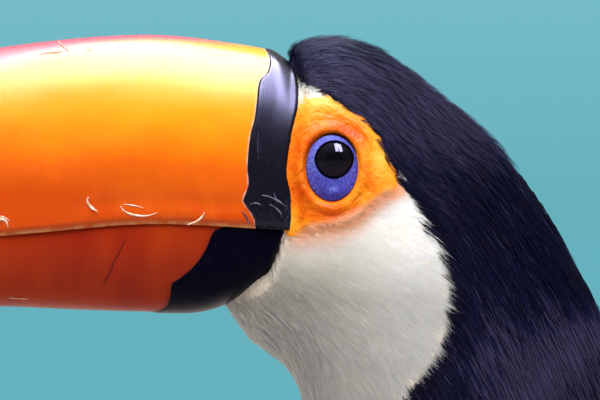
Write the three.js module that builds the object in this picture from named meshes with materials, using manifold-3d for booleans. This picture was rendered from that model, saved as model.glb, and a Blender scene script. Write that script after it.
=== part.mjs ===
// A toco toucan standing at rest, life size, in millimetres.
// +Z is up, the bird faces -Y and its left side is +X. Lengths along the bird ("along", growing
// towards the tail) and heights ("up") are measured from the corner of the mouth, and the whole
// bird is set down at the end with its toes on the floor and its box centred over the origin.
import * as THREE from 'three';
import Module from 'manifold-3d';
import { mergeVertices } from 'three/addons/utils/BufferGeometryUtils.js';

const wasm = await Module();
wasm.setup();

// ---- Driving dimensions -------------------------------------------------------------------

const mouthHeight = 262; // the corner of the mouth above the floor
const gap = 0.3; // kept between neighbouring pieces

// The body from chin to tail root. Each station is one slice, from a point on the throat and
// belly line to a point on the crown and back line, with its half width and how much narrower
// it is on the back side than on the belly side.
const bodyStations = [
  { name: 'chin', front: [-16.5, -19.6], back: [-6, 30], half: 12, taper: -0.3 },
  { name: 'cheek', front: [-9.5, -29], back: [-2.2, 42.5], half: 19, taper: -0.1 },
  { name: 'brow', front: [-1, -35.5], back: [4.2, 47.5], half: 21.6, taper: 0.02 },
  { name: 'eye', front: [3, -43], back: [13.4, 48.5], half: 23.6, taper: 0.06 },
  { name: 'ear', front: [4, -51], back: [24, 44.9], half: 26, taper: 0.08 },
  { name: 'nape', front: [3.8, -60], back: [37, 34.8], half: 29, taper: 0.08 },
  { name: 'neck', front: [3.4, -70], back: [51.8, 21.3], half: 33, taper: 0.06 },
  { name: 'neck_root', front: [3, -81], back: [66, 2.5], half: 37.5, taper: 0.04 },
  { name: 'shoulder', front: [4, -94], back: [77, -14.5], half: 41.5, taper: 0.02 },
  { name: 'breast', front: [9, -110], back: [88, -36], half: 44, taper: 0 },
  { name: 'back', front: [19, -128], back: [101, -62], half: 45, taper: 0 },
  { name: 'waist', front: [34, -148], back: [115, -90], half: 43, taper: 0 },
  { name: 'belly', front: [53, -166], back: [128, -116], half: 38, taper: 0.02 },
  { name: 'vent', front: [78, -180], back: [140, -139], half: 30, taper: 0.04 },
  { name: 'rump', front: [104, -187], back: [149, -154], half: 22.5, taper: 0.04 },
  { name: 'coverts', front: [127, -190], back: [156.5, -166], half: 16, taper: 0 },
  { name: 'tail_root', front: [143, -188], back: [162, -173], half: 10.5, taper: 0 },
];
const bodyParts = [
  { name: 'head', from: 'chin', to: 'nape', rings: 15 },
  { name: 'neck', from: 'nape', to: 'shoulder', rings: 6 },
  { name: 'trunk', from: 'shoulder', to: 'vent', rings: 10 },
  { name: 'rump', from: 'vent', to: 'tail_root', rings: 6 },
];
const bodySides = 28;
const bodyPower = 2.15; // 2 is a plain oval slice, more is squarer

// The bill: along and up of its ridge, of the mouth line and of the keel below.
const billLength = 195;
const ridgeLine = [
  [0, 44.2], [-12.7, 46.7], [-35.5, 49], [-73.6, 45.9], [-100, 40.8], [-125, 33],
  [-150, 21.6], [-170, 8.8], [-184, -3.5], [-192, -12.5], [-billLength, -17.5],
];
const mouthLine = [
  [0, 0], [-35.5, 1.6], [-61.4, -0.4], [-100, -4], [-130, -7.5], [-160, -11.5],
  [-184, -15.5], [-billLength, -18.4],
];
const keelLine = [
  [0, -1.2], [-1.8, -4], [-3.2, -9], [-5.5, -14], [-9, -15.9], [-16.2, -19.2], [-22.8, -21.1],
  [-35, -21.3], [-73.6, -20], [-120, -19.4], [-155, -18.8], [-185, -18.2],
];
const rearEdge = [[0, 0], [8, 0.2], [14, -1], [23, 0], [33, 2.1], [42, 0.7], [46, -1.5]];
const rearEdgeReach = 25; // how far forward the waved rear edge still bends the bill
const billHalf = 20.3; // half width at the base
const billTaper = 0.3; // share of the width lost evenly towards the tip
const lowerBillLength = 185;

const eye = { radius: 7.3, x: 16.9, along: 11.2, up: 17.3, opening: [4.8, 4.6] };
const lids = { along: 10.5, up: 15.2, reach: [6.6, 8.5], seat: 20.2, rim: 22.3, crown: 23.9 };

// The folded wing, seen from the side: its upper and lower edge, with the distance from the
// middle plane at both edges and at the widest place, and its own thickness.
const wingStations = [
  { upper: [33, -70], lower: [23, -90], edge: 30, mid: 44, thick: 14 },
  { upper: [50, -56], lower: [27, -108], edge: 33, mid: 49.5, thick: 16 },
  { upper: [74, -58], lower: [42, -130], edge: 32, mid: 51.5, thick: 18 },
  { upper: [99, -80], lower: [64, -150], edge: 27, mid: 50.5, thick: 18 },
  { upper: [121, -107], lower: [92, -167], edge: 20, mid: 45, thick: 18 },
  { upper: [141, -130], lower: [119, -175], edge: 15, mid: 36, thick: 15 },
  { upper: [159, -149], lower: [145, -179], edge: 12.5, mid: 28, thick: 9 },
  { upper: [178, -165], lower: [170, -183], edge: 11, mid: 20.5, thick: 5 },
  { upper: [198, -181], lower: [194, -192], edge: 9.5, mid: 14.5, thick: 3 },
  { upper: [214, -193], lower: [213, -199], edge: 8.5, mid: 10.5, thick: 2 },
];

const tail = { along: 158, up: -180, length: 148, droop: 25, rootHalf: 20, tipHalf: 28, thick: 6 };

const hipX = 24;
const ankle = { x: 25, along: 82, height: 52 };
const foot = { x: 26, along: 55 };
const toePlan = [
  { name: 'outer_front', turn: -16, length: 50, radius: 3.7, claw: 14 },
  { name: 'inner_front', turn: 24, length: 36, radius: 3.4, claw: 12 },
  { name: 'outer_rear', turn: -150, length: 43, radius: 3.5, claw: 13 },
  { name: 'inner_rear', turn: 152, length: 25, radius: 3.2, claw: 11 },
];

// ---- Shapes -------------------------------------------------------------------------------

const at = (x, along, up) => new THREE.Vector3(x, along, up + mouthHeight);

// A closed skin through a row of rings that all have the same number of points.
function loft(rings) {
  const sides = rings[0].length;
  const last = (rings.length - 1) * sides;
  const points = rings.flat();
  const faces = [];
  for (let start = 0; start < last; start += sides) {
    for (let i = 0; i < sides; i++) {
      const a = start + i;
      const b = start + (i + 1) % sides;
      faces.push(a, b, a + sides, b, b + sides, a + sides);
    }
  }
  for (const [ring, start, turn] of [[rings[0], 0, 1], [rings.at(-1), last, 0]]) {
    const middle = points.length;
    points.push(ring.reduce((sum, p) => sum.add(p), new THREE.Vector3()).divideScalar(sides));
    for (let i = 0; i < sides; i++) {
      const pair = [start + i, start + (i + 1) % sides];
      faces.push(middle, pair[turn], pair[1 - turn]);
    }
  }
  return facedOut(new THREE.BufferGeometry().setFromPoints(points).setIndex(faces));
}

// Turns the faces outwards, wherever the rings ran the other way round.
function facedOut(geometry) {
  const place = geometry.getAttribute('position');
  const index = geometry.getIndex().array;
  const [a, b, c] = [new THREE.Vector3(), new THREE.Vector3(), new THREE.Vector3()];
  let volume = 0;
  for (let i = 0; i < index.length; i += 3) {
    a.fromBufferAttribute(place, index[i]);
    b.fromBufferAttribute(place, index[i + 1]);
    c.fromBufferAttribute(place, index[i + 2]);
    volume += a.dot(b.cross(c));
  }
  if (volume < 0) index.reverse();
  return geometry;
}

function solidOf(geometry) {
  const bare = geometry.clone();
  bare.deleteAttribute('normal');
  bare.deleteAttribute('uv');
  const merged = mergeVertices(bare, 1e-4);
  return new wasm.Manifold(new wasm.Mesh({
    numProp: 3,
    vertProperties: merged.getAttribute('position').array,
    triVerts: new Uint32Array(merged.getIndex().array),
  }));
}

function geometryOf(solid) {
  const mesh = solid.getMesh();
  const geometry = new THREE.BufferGeometry();
  geometry.setAttribute('position', new THREE.BufferAttribute(mesh.vertProperties, 3));
  return geometry.setIndex(new THREE.BufferAttribute(mesh.triVerts, 1));
}

// The first geometry with all the others taken away from it.
function cut(geometry, ...tools) {
  return geometryOf(tools.reduce((solid, tool) => solid.subtract(solidOf(tool)), solidOf(geometry)));
}

// Up as a smooth function of along, from a line of points that runs forward.
function heightAlong(line) {
  const curve = new THREE.SplineCurve(line.map(([along, up]) => new THREE.Vector2(along, up)));
  const samples = curve.getPoints(line.length * 12);
  return (along) => {
    const next = samples.findIndex((p) => p.x <= along);
    if (next <= 0) return samples.at(next).y;
    const [p, q] = [samples[next - 1], samples[next]];
    return THREE.MathUtils.mapLinear(along, p.x, q.x, p.y, q.y);
  };
}

const signedPower = (value, power) => Math.sign(value) * Math.abs(value) ** power;

// ---- Body: head, neck, trunk and rump -----------------------------------------------------

const frontLine = new THREE.CatmullRomCurve3(bodyStations.map((s) => at(s.half, ...s.front)));
const backLine = new THREE.CatmullRomCurve3(bodyStations.map((s) => at(s.taper, ...s.back)));
const stationAt = (name) => bodyStations.findIndex((s) => s.name === name);

function bodyRing(station, grow) {
  const share = station / (bodyStations.length - 1);
  const front = frontLine.getPoint(share);
  const back = backLine.getPoint(share);
  const half = front.x + grow;
  const taper = back.x;
  front.x = 0;
  back.x = 0;
  const middle = front.clone().lerp(back, 0.5);
  const reach = back.clone().sub(middle);
  reach.setLength(reach.length() + grow);
  return Array.from({ length: bodySides }, (_, i) => {
    const angle = (2 * Math.PI * i) / bodySides;
    const rise = signedPower(Math.cos(angle), 2 / bodyPower);
    const side = signedPower(Math.sin(angle), 2 / bodyPower) * (1 - taper * rise);
    return middle.clone().addScaledVector(reach, rise).setX(half * side);
  });
}

function bodyLength(from, to, rings, grow = 0) {
  const stations = Array.from({ length: rings + 1 }, (_, i) => from + ((to - from) * i) / rings);
  return loft(stations.map((station) => bodyRing(station, grow)));
}

const wholeBody = bodyLength(0, bodyStations.length - 1, 32, gap);

// ---- Bill ---------------------------------------------------------------------------------

const ridge = heightAlong(ridgeLine);
const mouth = heightAlong(mouthLine);
const keel = heightAlong(keelLine);
const rear = heightAlong(rearEdge.map(([up, along]) => [-up, along]));

function billHalfAt(along) {
  const share = Math.min(-along / (billLength + 2), 1);
  return billHalf * (1 - billTaper * share) * Math.sqrt(1 - share ** 6);
}

// One slice of the bill: an arch over a flat floor, or hanging under it when top is below.
function billRing(along, floor, top, half, power) {
  const archSteps = 14;
  const floorSteps = 4;
  const ring = [];
  for (let i = 0; i <= archSteps; i++) {
    const angle = (Math.PI * i) / archSteps;
    const rise = signedPower(Math.sin(angle), 2 / power);
    const inset = 1 - 0.04 * (1 - rise) ** 2;
    const side = signedPower(Math.cos(angle), 2 / power) * inset;
    ring.push(at(half * side, along, floor + (top - floor) * rise));
  }
  for (let i = 1; i < floorSteps; i++) {
    ring.push(ring[archSteps].clone().lerp(ring[0], i / floorSteps));
  }
  return ring;
}

function upperBill(grow = 0) {
  const steps = 22;
  const rings = Array.from({ length: steps + 1 }, (_, i) => {
    const share = 1 - (1 - i / steps) ** 1.25;
    const along = -billLength * share;
    const half = billHalfAt(along) + grow;
    const ring = billRing(along, mouth(along) - 2 * grow, ridge(along) + grow, half, 2.15);
    const bend = Math.max(0, 1 + along / rearEdgeReach);
    for (const p of ring) p.y += bend * rear(-Math.max(0, p.z - mouthHeight)) + grow;
    return ring;
  });
  return loft(rings);
}

function lowerBill(grow = 0) {
  const steps = 17;
  const rings = Array.from({ length: steps + 1 }, (_, i) => {
    const along = -lowerBillLength * (i / steps) ** 1.6;
    const half = billHalfAt(along) * 0.94 + grow;
    const top = mouth(along) - gap;
    const bottom = Math.min(keel(along), top - 0.6) - grow;
    return billRing(along + 2 * grow, top + 2 * grow, bottom, half, 2.3);
  });
  return loft(rings);
}

// ---- Eyes ---------------------------------------------------------------------------------

function eyeball(side, grow = 0) {
  const ball = new THREE.SphereGeometry(eye.radius + grow, 12, 8);
  ball.rotateZ(Math.PI / 2);
  const centre = at(side * eye.x, eye.along, eye.up);
  return ball.translate(centre.x, centre.y, centre.z);
}

// The oval ring of bare skin that the eye looks out of, swollen between its two edges.
function eyelids(side) {
  const steps = 16;
  const rings = Array.from({ length: steps }, (_, i) => {
    const angle = (2 * Math.PI * i) / steps;
    const inner = [
      eye.along + eye.opening[0] * Math.cos(angle),
      eye.up + eye.opening[1] * Math.sin(angle),
    ];
    const outer = [
      lids.along + lids.reach[0] * Math.cos(angle),
      lids.up + lids.reach[1] * Math.sin(angle),
    ];
    const middle = [0, 1].map((axis) => (inner[axis] + outer[axis]) / 2);
    return [
      at(side * lids.seat, ...inner),
      at(side * (lids.rim + 0.6), ...inner),
      at(side * lids.crown, ...middle),
      at(side * (lids.rim - 0.4), ...outer),
      at(side * lids.seat, ...outer),
    ];
  });
  const corners = rings[0].length;
  const faces = [];
  for (let i = 0; i < steps; i++) {
    for (let j = 0; j < corners; j++) {
      const a = i * corners + j;
      const b = i * corners + (j + 1) % corners;
      const next = ((i + 1) % steps) * corners - i * corners;
      faces.push(a, b, a + next, b, b + next, a + next);
    }
  }
  const ring = facedOut(new THREE.BufferGeometry().setFromPoints(rings.flat()).setIndex(faces));
  return cut(ring, eyeball(side, gap));
}

// The hollow in the head that holds one eye's lids.
function lidSeat(side) {
  const depth = 20;
  const seat = new THREE.CylinderGeometry(1, 1, depth, 16);
  seat.scale(lids.reach[0] + gap, 1, lids.reach[1] + gap);
  seat.rotateZ(-Math.PI / 2);
  const centre = at(side * (lids.seat - gap + depth / 2), lids.along, lids.up);
  return seat.translate(centre.x, centre.y, centre.z);
}

// ---- Legs and feet ------------------------------------------------------------------------

// A round limb through named points, each with its radii across and along the bird.
function limb(stations, sides, rings, grow = 0) {
  const path = new THREE.CatmullRomCurve3(stations.map((s) => s.place));
  const size = new THREE.CatmullRomCurve3(stations.map((s) => new THREE.Vector3(...s.radii, 0)));
  return loft(Array.from({ length: rings + 1 }, (_, i) => {
    const centre = path.getPoint(i / rings);
    const radii = size.getPoint(i / rings);
    const ahead = path.getTangent(i / rings);
    const across = new THREE.Vector3(1, 0, 0).addScaledVector(ahead, -ahead.x).normalize();
    const fore = new THREE.Vector3().crossVectors(ahead, across);
    return Array.from({ length: sides }, (__, k) => {
      const angle = (2 * Math.PI * k) / sides;
      return centre.clone()
        .addScaledVector(across, (radii.x + grow) * Math.cos(angle))
        .addScaledVector(fore, (radii.y + grow) * Math.sin(angle));
    });
  }));
}

const floorAt = (x, along, height) => new THREE.Vector3(x, along, height);

function thigh(side, grow = 0) {
  return limb([
    { place: floorAt(side * (hipX - 4), 74, 126), radii: [15, 20] },
    { place: floorAt(side * hipX, 72, 100), radii: [15.5, 22] },
    { place: floorAt(side * (hipX + 0.5), 76, 77), radii: [11, 14.5] },
    { place: floorAt(side * ankle.x, ankle.along - 1, ankle.height + 5), radii: [5.6, 7] },
    { place: floorAt(side * ankle.x, ankle.along + 0.5, ankle.height), radii: [4.6, 5] },
  ], 12, 6, grow);
}

function shank(side, grow = 0) {
  return limb([
    { place: floorAt(side * ankle.x, ankle.along + 0.7, ankle.height - 1), radii: [3.9, 4.4] },
    { place: floorAt(side * ankle.x, ankle.along - 1.5, ankle.height - 7), radii: [3.9, 4.4] },
    { place: floorAt(side * (ankle.x + 0.3), ankle.along - 9, ankle.height - 20), radii: [3, 3.4] },
    { place: floorAt(side * foot.x, foot.along + 5, 17), radii: [3.2, 3.6] },
    { place: floorAt(side * foot.x, foot.along, 9), radii: [4.6, 4.6] },
    { place: floorAt(side * foot.x, foot.along - 0.5, 3.2), radii: [5.2, 5.2] },
    { place: floorAt(side * foot.x, foot.along - 0.5, 0), radii: [4.4, 4.4] },
  ], 10, 9, grow);
}

// A toe lies on the floor: its round section is cut flat at floor level.
function toe(side, plan, grow = 0) {
  const turn = THREE.MathUtils.degToRad(plan.turn) * side;
  const ahead = new THREE.Vector3(-Math.sin(turn), -Math.cos(turn), 0);
  const across = new THREE.Vector3(ahead.y, -ahead.x, 0);
  const root = floorAt(side * foot.x, foot.along, 0);
  const steps = 5;
  const sides = 8;
  return loft(Array.from({ length: steps + 1 }, (_, i) => {
    const share = i / steps;
    const knuckle = 1 + 0.07 * Math.cos(share * 6 * Math.PI);
    const radius = plan.radius * (1 - 0.3 * share) * knuckle + grow;
    const centre = root.clone().addScaledVector(ahead, plan.length * share);
    centre.z = (radius - grow) * 0.8 + 1.5 * (1 - share) ** 3;
    return Array.from({ length: sides }, (__, k) => {
      const angle = (2 * Math.PI * (k + 0.5)) / sides;
      const point = centre.clone().addScaledVector(across, radius * Math.cos(angle));
      point.z = Math.max(-grow, point.z + radius * Math.sin(angle));
      return point;
    });
  }));
}

// A claw carries on from its toe, rises and curls down until its point is just off the floor.
function claw(side, plan) {
  const turn = THREE.MathUtils.degToRad(plan.turn) * side;
  const ahead = new THREE.Vector3(-Math.sin(turn), -Math.cos(turn), 0);
  const root = floorAt(side * foot.x, foot.along, 0).addScaledVector(ahead, plan.length + gap);
  const steps = 4;
  const sides = 5;
  const thick = plan.radius * 0.55;
  return loft(Array.from({ length: steps + 1 }, (_, i) => {
    const share = i / steps;
    const bend = share * 1.75;
    const reach = plan.claw * 0.62;
    const centre = root.clone().addScaledVector(ahead, reach * Math.sin(bend));
    centre.z = 2.9 - 2.35 * share ** 1.7 + 1.4 * Math.sin(Math.PI * share);
    const tangent = new THREE.Vector3(0, 0, -0.9 * share).addScaledVector(ahead, 1).normalize();
    const across = new THREE.Vector3(ahead.y, -ahead.x, 0);
    const over = new THREE.Vector3().crossVectors(tangent, across);
    const radius = thick * (1 - 0.82 * share);
    return Array.from({ length: sides }, (__, k) => {
      const angle = (2 * Math.PI * k) / sides;
      return centre.clone()
        .addScaledVector(across, 0.8 * radius * Math.cos(angle))
        .addScaledVector(over, 1.15 * radius * Math.sin(angle));
    });
  }));
}

// ---- Wings and tail -----------------------------------------------------------------------

function wing(side) {
  const upper = new THREE.CatmullRomCurve3(wingStations.map((s) => at(s.edge, ...s.upper)));
  const lower = new THREE.CatmullRomCurve3(wingStations.map((s) => at(s.mid, ...s.lower)));
  const depth = new THREE.CatmullRomCurve3(
    wingStations.map((s) => new THREE.Vector3(s.edge, s.mid, s.thick)),
  );
  const steps = 13;
  const outerSteps = 6;
  return loft(Array.from({ length: steps + 1 }, (_, i) => {
    const top = upper.getPoint(i / steps);
    const bottom = lower.getPoint(i / steps);
    const sizes = depth.getPoint(i / steps);
    const outer = Array.from({ length: outerSteps + 1 }, (__, k) => {
      const share = k / outerSteps;
      const bulge = Math.sin(Math.PI * share) ** 0.8;
      const point = top.clone().lerp(bottom, share);
      return point.setX(side * (sizes.x + (sizes.y - sizes.x) * bulge));
    });
    const inner = outer.slice(1, -1).reverse().map((p) => p.clone().setX(p.x - side * sizes.z));
    return [...outer, ...inner];
  }));
}

function tailPlate(grow = 0) {
  const steps = 9;
  const droop = THREE.MathUtils.degToRad(tail.droop);
  const back = new THREE.Vector3(0, Math.cos(droop), -Math.sin(droop));
  const over = new THREE.Vector3(0, Math.sin(droop), Math.cos(droop));
  const root = at(0, tail.along, tail.up).addScaledVector(back, -tail.length * 0.08);
  return loft(Array.from({ length: steps + 1 }, (_, i) => {
    const share = i / steps;
    const widen = THREE.MathUtils.lerp(tail.rootHalf, tail.tipHalf, Math.sin(share * 1.7));
    const roundEnd = Math.sqrt(1 - Math.max(0, (share - 0.82) / 0.19) ** 2);
    const half = widen * roundEnd + grow;
    const thick = tail.thick * (1 - 0.6 * share) + 2 * grow;
    const centre = root.clone().addScaledVector(back, tail.length * 1.08 * share);
    return Array.from({ length: 12 }, (__, k) => {
      const angle = (2 * Math.PI * k) / 12;
      const x = half * signedPower(Math.cos(angle), 0.6);
      const arch = -0.12 * (x / tail.tipHalf) ** 2 * tail.tipHalf;
      return centre.clone()
        .addScaledVector(over, (thick / 2) * signedPower(Math.sin(angle), 0.8) + arch)
        .setX(x);
    });
  }));
}

// ---- The bird -----------------------------------------------------------------------------

const finish = (color, roughness) => ({ color, roughness, metalness: 0 });
const finishes = {
  black: finish(0x15151a, 0.7),
  white: finish(0xe9e6dc, 0.8),
  bill: finish(0xe87a12, 0.3),
  keel: finish(0xc9541a, 0.35),
  lid: finish(0x3a3f9c, 0.5),
  eye: finish(0x0c0808, 0.05),
  leg: finish(0x6f8596, 0.6),
  claw: finish(0x2a2422, 0.35),
};

const bird = new THREE.Group();

function add(name, geometry, look) {
  const mesh = new THREE.Mesh(geometry, new THREE.MeshStandardMaterial(finishes[look]));
  mesh.name = name;
  bird.add(mesh);
}

const sides = [['left', 1], ['right', -1]];
add('bill_upper', upperBill(), 'bill');
add('bill_lower', lowerBill(), 'keel');

for (const part of bodyParts) {
  const nick = 0.016; // half of one cut, in stations
  const first = stationAt(part.from);
  const last = stationAt(part.to);
  const from = first + (first > 0 ? nick : 0);
  const to = last - (last < bodyStations.length - 1 ? nick : 0);
  let geometry = bodyLength(from, to, part.rings);
  if (part.name === 'head') {
    geometry = cut(geometry, upperBill(gap), lowerBill(gap));
    for (const [, side] of sides) {
      geometry = cut(geometry, lidSeat(side), eyeball(side, gap));
    }
  }
  add(part.name, geometry, part.name === 'rump' ? 'white' : 'black');
}
add('tail', cut(tailPlate(), wholeBody), 'black');

for (const [name, side] of sides) {
  add(`eye_${name}`, eyeball(side), 'eye');
  add(`eyelids_${name}`, eyelids(side), 'lid');
  const shankSeat = shank(side, gap);
  add(`thigh_${name}`, cut(thigh(side), wholeBody, shankSeat), 'black');
  add(`wing_${name}`, cut(wing(side), wholeBody, thigh(side, gap), tailPlate(gap)), 'black');
  add(`shank_${name}`, shank(side), 'leg');
  const toeSeats = [shankSeat];
  for (const plan of toePlan) {
    add(`toe_${plan.name}_${name}`, cut(toe(side, plan), ...toeSeats), 'leg');
    add(`claw_${plan.name}_${name}`, claw(side, plan), 'claw');
    toeSeats.push(toe(side, plan, gap));
  }
}

// Set the bird down with the middle of its box over the origin.
const box = new THREE.Box3().setFromObject(bird);
bird.position.y = -(box.min.y + box.max.y) / 2;

export default bird;
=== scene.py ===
import math
import random

import bpy
import numpy as np
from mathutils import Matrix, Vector, noise
from mathutils.bvhtree import BVHTree
from mathutils.kdtree import KDTree


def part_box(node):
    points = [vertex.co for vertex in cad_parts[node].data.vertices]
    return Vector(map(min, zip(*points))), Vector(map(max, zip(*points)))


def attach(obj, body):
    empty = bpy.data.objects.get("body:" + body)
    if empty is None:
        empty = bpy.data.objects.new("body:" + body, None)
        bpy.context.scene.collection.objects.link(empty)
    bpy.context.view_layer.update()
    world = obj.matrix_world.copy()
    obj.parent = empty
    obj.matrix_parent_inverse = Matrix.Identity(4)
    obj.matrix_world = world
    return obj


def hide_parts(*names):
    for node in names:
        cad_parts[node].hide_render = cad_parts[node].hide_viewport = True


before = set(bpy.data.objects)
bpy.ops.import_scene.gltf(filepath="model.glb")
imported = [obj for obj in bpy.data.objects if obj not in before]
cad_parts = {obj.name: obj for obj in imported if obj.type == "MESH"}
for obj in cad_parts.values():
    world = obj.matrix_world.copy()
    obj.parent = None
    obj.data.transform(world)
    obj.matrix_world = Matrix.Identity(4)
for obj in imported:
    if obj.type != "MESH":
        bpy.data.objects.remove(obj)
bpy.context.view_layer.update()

# ---- Camera, floor and light --------------------------------------------------------------
# The bird is looked at square on from its left, close in on the head. The lens is long, so the
# outline is nearly an engineer's side view. Along is millimetres from the corner of the mouth
# towards the tail, and up is millimetres above it.
MM = 0.001
BILL_LENGTH = 195.0
RIDGE_TOP = 49.0
mouth_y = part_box("bill_upper")[0].y + BILL_LENGTH * MM
mouth_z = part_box("bill_upper")[1].z - RIDGE_TOP * MM


def at(x, along, up):
    """A point in metres in the frame, from millimetres off the middle, along and up."""
    return Vector((x * MM, mouth_y + along * MM, mouth_z + up * MM))


def rows(x, along, up):
    """The same for whole arrays of points, one row each."""
    x, along, up = np.broadcast_arrays(x, along, up)
    return np.stack([x.ravel() * MM, mouth_y + along.ravel() * MM, mouth_z + up.ravel() * MM], 1)


VIEW_WIDTH = 0.1523
CAMERA_DISTANCE = 2.0
SENSOR = 36.0
camera = bpy.data.objects.new("camera", bpy.data.cameras.new("camera"))
camera.data.sensor_width = SENSOR
camera.data.lens = SENSOR * CAMERA_DISTANCE / VIEW_WIDTH
camera.data.clip_end = 300
camera.location = at(CAMERA_DISTANCE / MM, 2.5, 7.1)
camera.rotation_euler = (math.pi / 2, 0, math.pi / 2)
bpy.context.scene.collection.objects.link(camera)
bpy.context.scene.camera = camera
bpy.context.scene.view_settings.view_transform = "Standard"


def linear(code):
    """A linear colour from an sRGB hex code such as F08020."""
    parts = [int(code[i:i + 2], 16) / 255 for i in (0, 2, 4)]
    return tuple(c / 12.92 if c <= 0.04045 else ((c + 0.055) / 1.055) ** 2.4 for c in parts) + (1,)


def feed(node, inputs):
    """Sets inputs of a node to values, or links them from sockets or from other nodes' main
    outputs."""
    main = {"ATTRIBUTE": "Fac", "TEX_COORD": "Object"}
    for key, value in inputs.items():
        if isinstance(value, bpy.types.Node):
            coloured = value.type == "MIX" and value.data_type == "RGBA"
            value = value.outputs[2 if coloured else main.get(value.type, 0)]
        if isinstance(value, bpy.types.NodeSocket):
            node.id_data.links.new(value, node.inputs[key])
        else:
            node.inputs[key].default_value = value


def put(tree, kind, inputs=None, stops=None, **settings):
    """Adds a node with its settings. A shader node's kind is given without its prefix."""
    node = tree.nodes.new(kind if "Node" in kind else f"ShaderNode{kind}")
    for name, value in settings.items():
        setattr(node, name, value)
    feed(node, inputs or {})
    if stops:
        band = node.color_ramp.elements
        while len(band) < len(stops):
            band.new(1)
        for element, (place, code) in zip(band, stops):
            element.position = place
            element.color = linear(code)
    return node


def new_material(name):
    material = bpy.data.materials.new(name)
    material.use_nodes = True
    return material, material.node_tree, material.node_tree.nodes["Principled BSDF"]


def mesh_object(name, points, faces):
    mesh = bpy.data.meshes.new(name)
    mesh.from_pydata([tuple(p) for p in points], [], [tuple(f) for f in faces])
    mesh.update()
    mesh.shade_smooth()
    piece = bpy.data.objects.new(name, mesh)
    bpy.context.scene.collection.objects.link(piece)
    return piece


def set_values(piece, name, kind, values):
    """Writes one named value per point of a piece, for its material or its node tree."""
    store = piece.data.attributes.new(name, kind, "POINT")
    key = "value" if kind == "FLOAT" else "vector"
    store.data.foreach_set(key, np.asarray(values, np.float32).ravel())


FLOOR_HALF = 60.0
floor = mesh_object("floor", [(-FLOOR_HALF, -FLOOR_HALF, 0), (FLOOR_HALF, -FLOOR_HALF, 0),
                              (FLOOR_HALF, FLOOR_HALF, 0), (-FLOOR_HALF, FLOOR_HALF, 0)],
                    [(0, 1, 2, 3)])
paper, tree, shader = new_material("pale_floor_paper")
# To the camera the floor is teal, painted darker near the bird, where the lamps light it more, and
# lighter far off, so that it looks evenly bright. To the light it is a neutral grey.
floor_place = put(tree, "TexCoord")
from_bird = put(tree, "VectorMath", {0: floor_place}, operation="LENGTH")
lit_less = put(tree, "MapRange", {"Value": from_bird.outputs["Value"], "From Min": 0.5,
    "From Max": 8.0})
teal = put(tree, "Mix", {"Factor": lit_less, 6: linear("5A98A4"), 7: linear("62C7D6")},
    data_type="RGBA")
seen = put(tree, "LightPath")
tint = put(tree, "Mix", {"Factor": seen.outputs["Is Camera Ray"], 6: linear("A29C96"), 7: teal},
    data_type="RGBA")
feed(shader, {"Base Color": tint, "Roughness": 0.9})
grain = put(tree, "TexNoise", {"Scale": 60.0, "Detail": 3.0})
bump = put(tree, "Bump", {"Height": grain, "Strength": 0.05})
feed(shader, {"Normal": bump})
floor.data.materials.append(paper)

# The studio's walls are pale and its ceiling much brighter, so most light falls from above.
# Straight on, the walls look as bright as the floor does far away, with no line between them.
WALL_GLOW, CEILING_GLOW = 0.24, 1.4
world = bpy.data.worlds.new("pale_studio")
world.use_nodes = True
tree = world.node_tree
lighting = tree.nodes["Background"]
direction = put(tree, "TexCoord")
axes = put(tree, "SeparateXYZ", {0: direction.outputs["Generated"]})
upward = put(tree, "Math", {0: axes.outputs["Z"], 1: 0.0}, operation="MAXIMUM")
steep = put(tree, "Math", {0: upward, 1: 3.0}, operation="POWER")
glow = put(tree, "Math", {0: steep, 1: CEILING_GLOW, 2: WALL_GLOW}, operation="MULTIPLY_ADD")
feed(lighting, {"Strength": glow, "Color": linear("FBFAFA")})
dusk = put(tree, "MapRange", {"Value": axes.outputs["Z"], "From Min": 0.0, "From Max": 0.03})
shade = put(tree, "ValToRGB", {"Fac": dusk}, [(0.0, "67B1BC"), (1.0, "78BDCB")])
backdrop = put(tree, "Background", {"Color": shade})
seen = put(tree, "LightPath")
either = put(tree, "MixShader", {"Fac": seen.outputs["Is Camera Ray"], 1: lighting.outputs[0],
    2: backdrop})
feed(tree.nodes["World Output"], {"Surface": either})
bpy.context.scene.world = world


def softbox(name, place, size, power, tint, glint_only=False):
    """A rectangular lamp aimed at the head. A glint-only lamp shows in gloss and nothing else."""
    lamp = bpy.data.lights.new(name, "AREA")
    lamp.shape = "RECTANGLE"
    lamp.size, lamp.size_y = size
    lamp.energy = power
    lamp.color = linear(tint)[:3]
    holder = bpy.data.objects.new(name, lamp)
    holder.location = place
    aim = at(0, 0, 15) - holder.location
    holder.rotation_euler = aim.to_track_quat("-Z", "Y").to_euler()
    holder.visible_camera = False
    holder.visible_diffuse = not glint_only
    holder.visible_glossy = glint_only
    bpy.context.scene.collection.objects.link(holder)
    return holder


softbox("overhead_softbox", (1.0, -0.2, 2.45), (2.3, 2.3), 86, "FFFAF4")
skylight = softbox("skylight", (0.4, -0.15, 2.6), (1.2, 2.9), 350, "F2F3FF", glint_only=True)
windows = []
for side, across in (("near", -1), ("far", 1)):
    pane = (1.27, 0.54 + 0.28 * across, 2.03)
    windows.append(softbox(f"window_pane_{side}", pane, (0.48, 1.3), 120, "F4F8FF",
                           glint_only=True))

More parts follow.
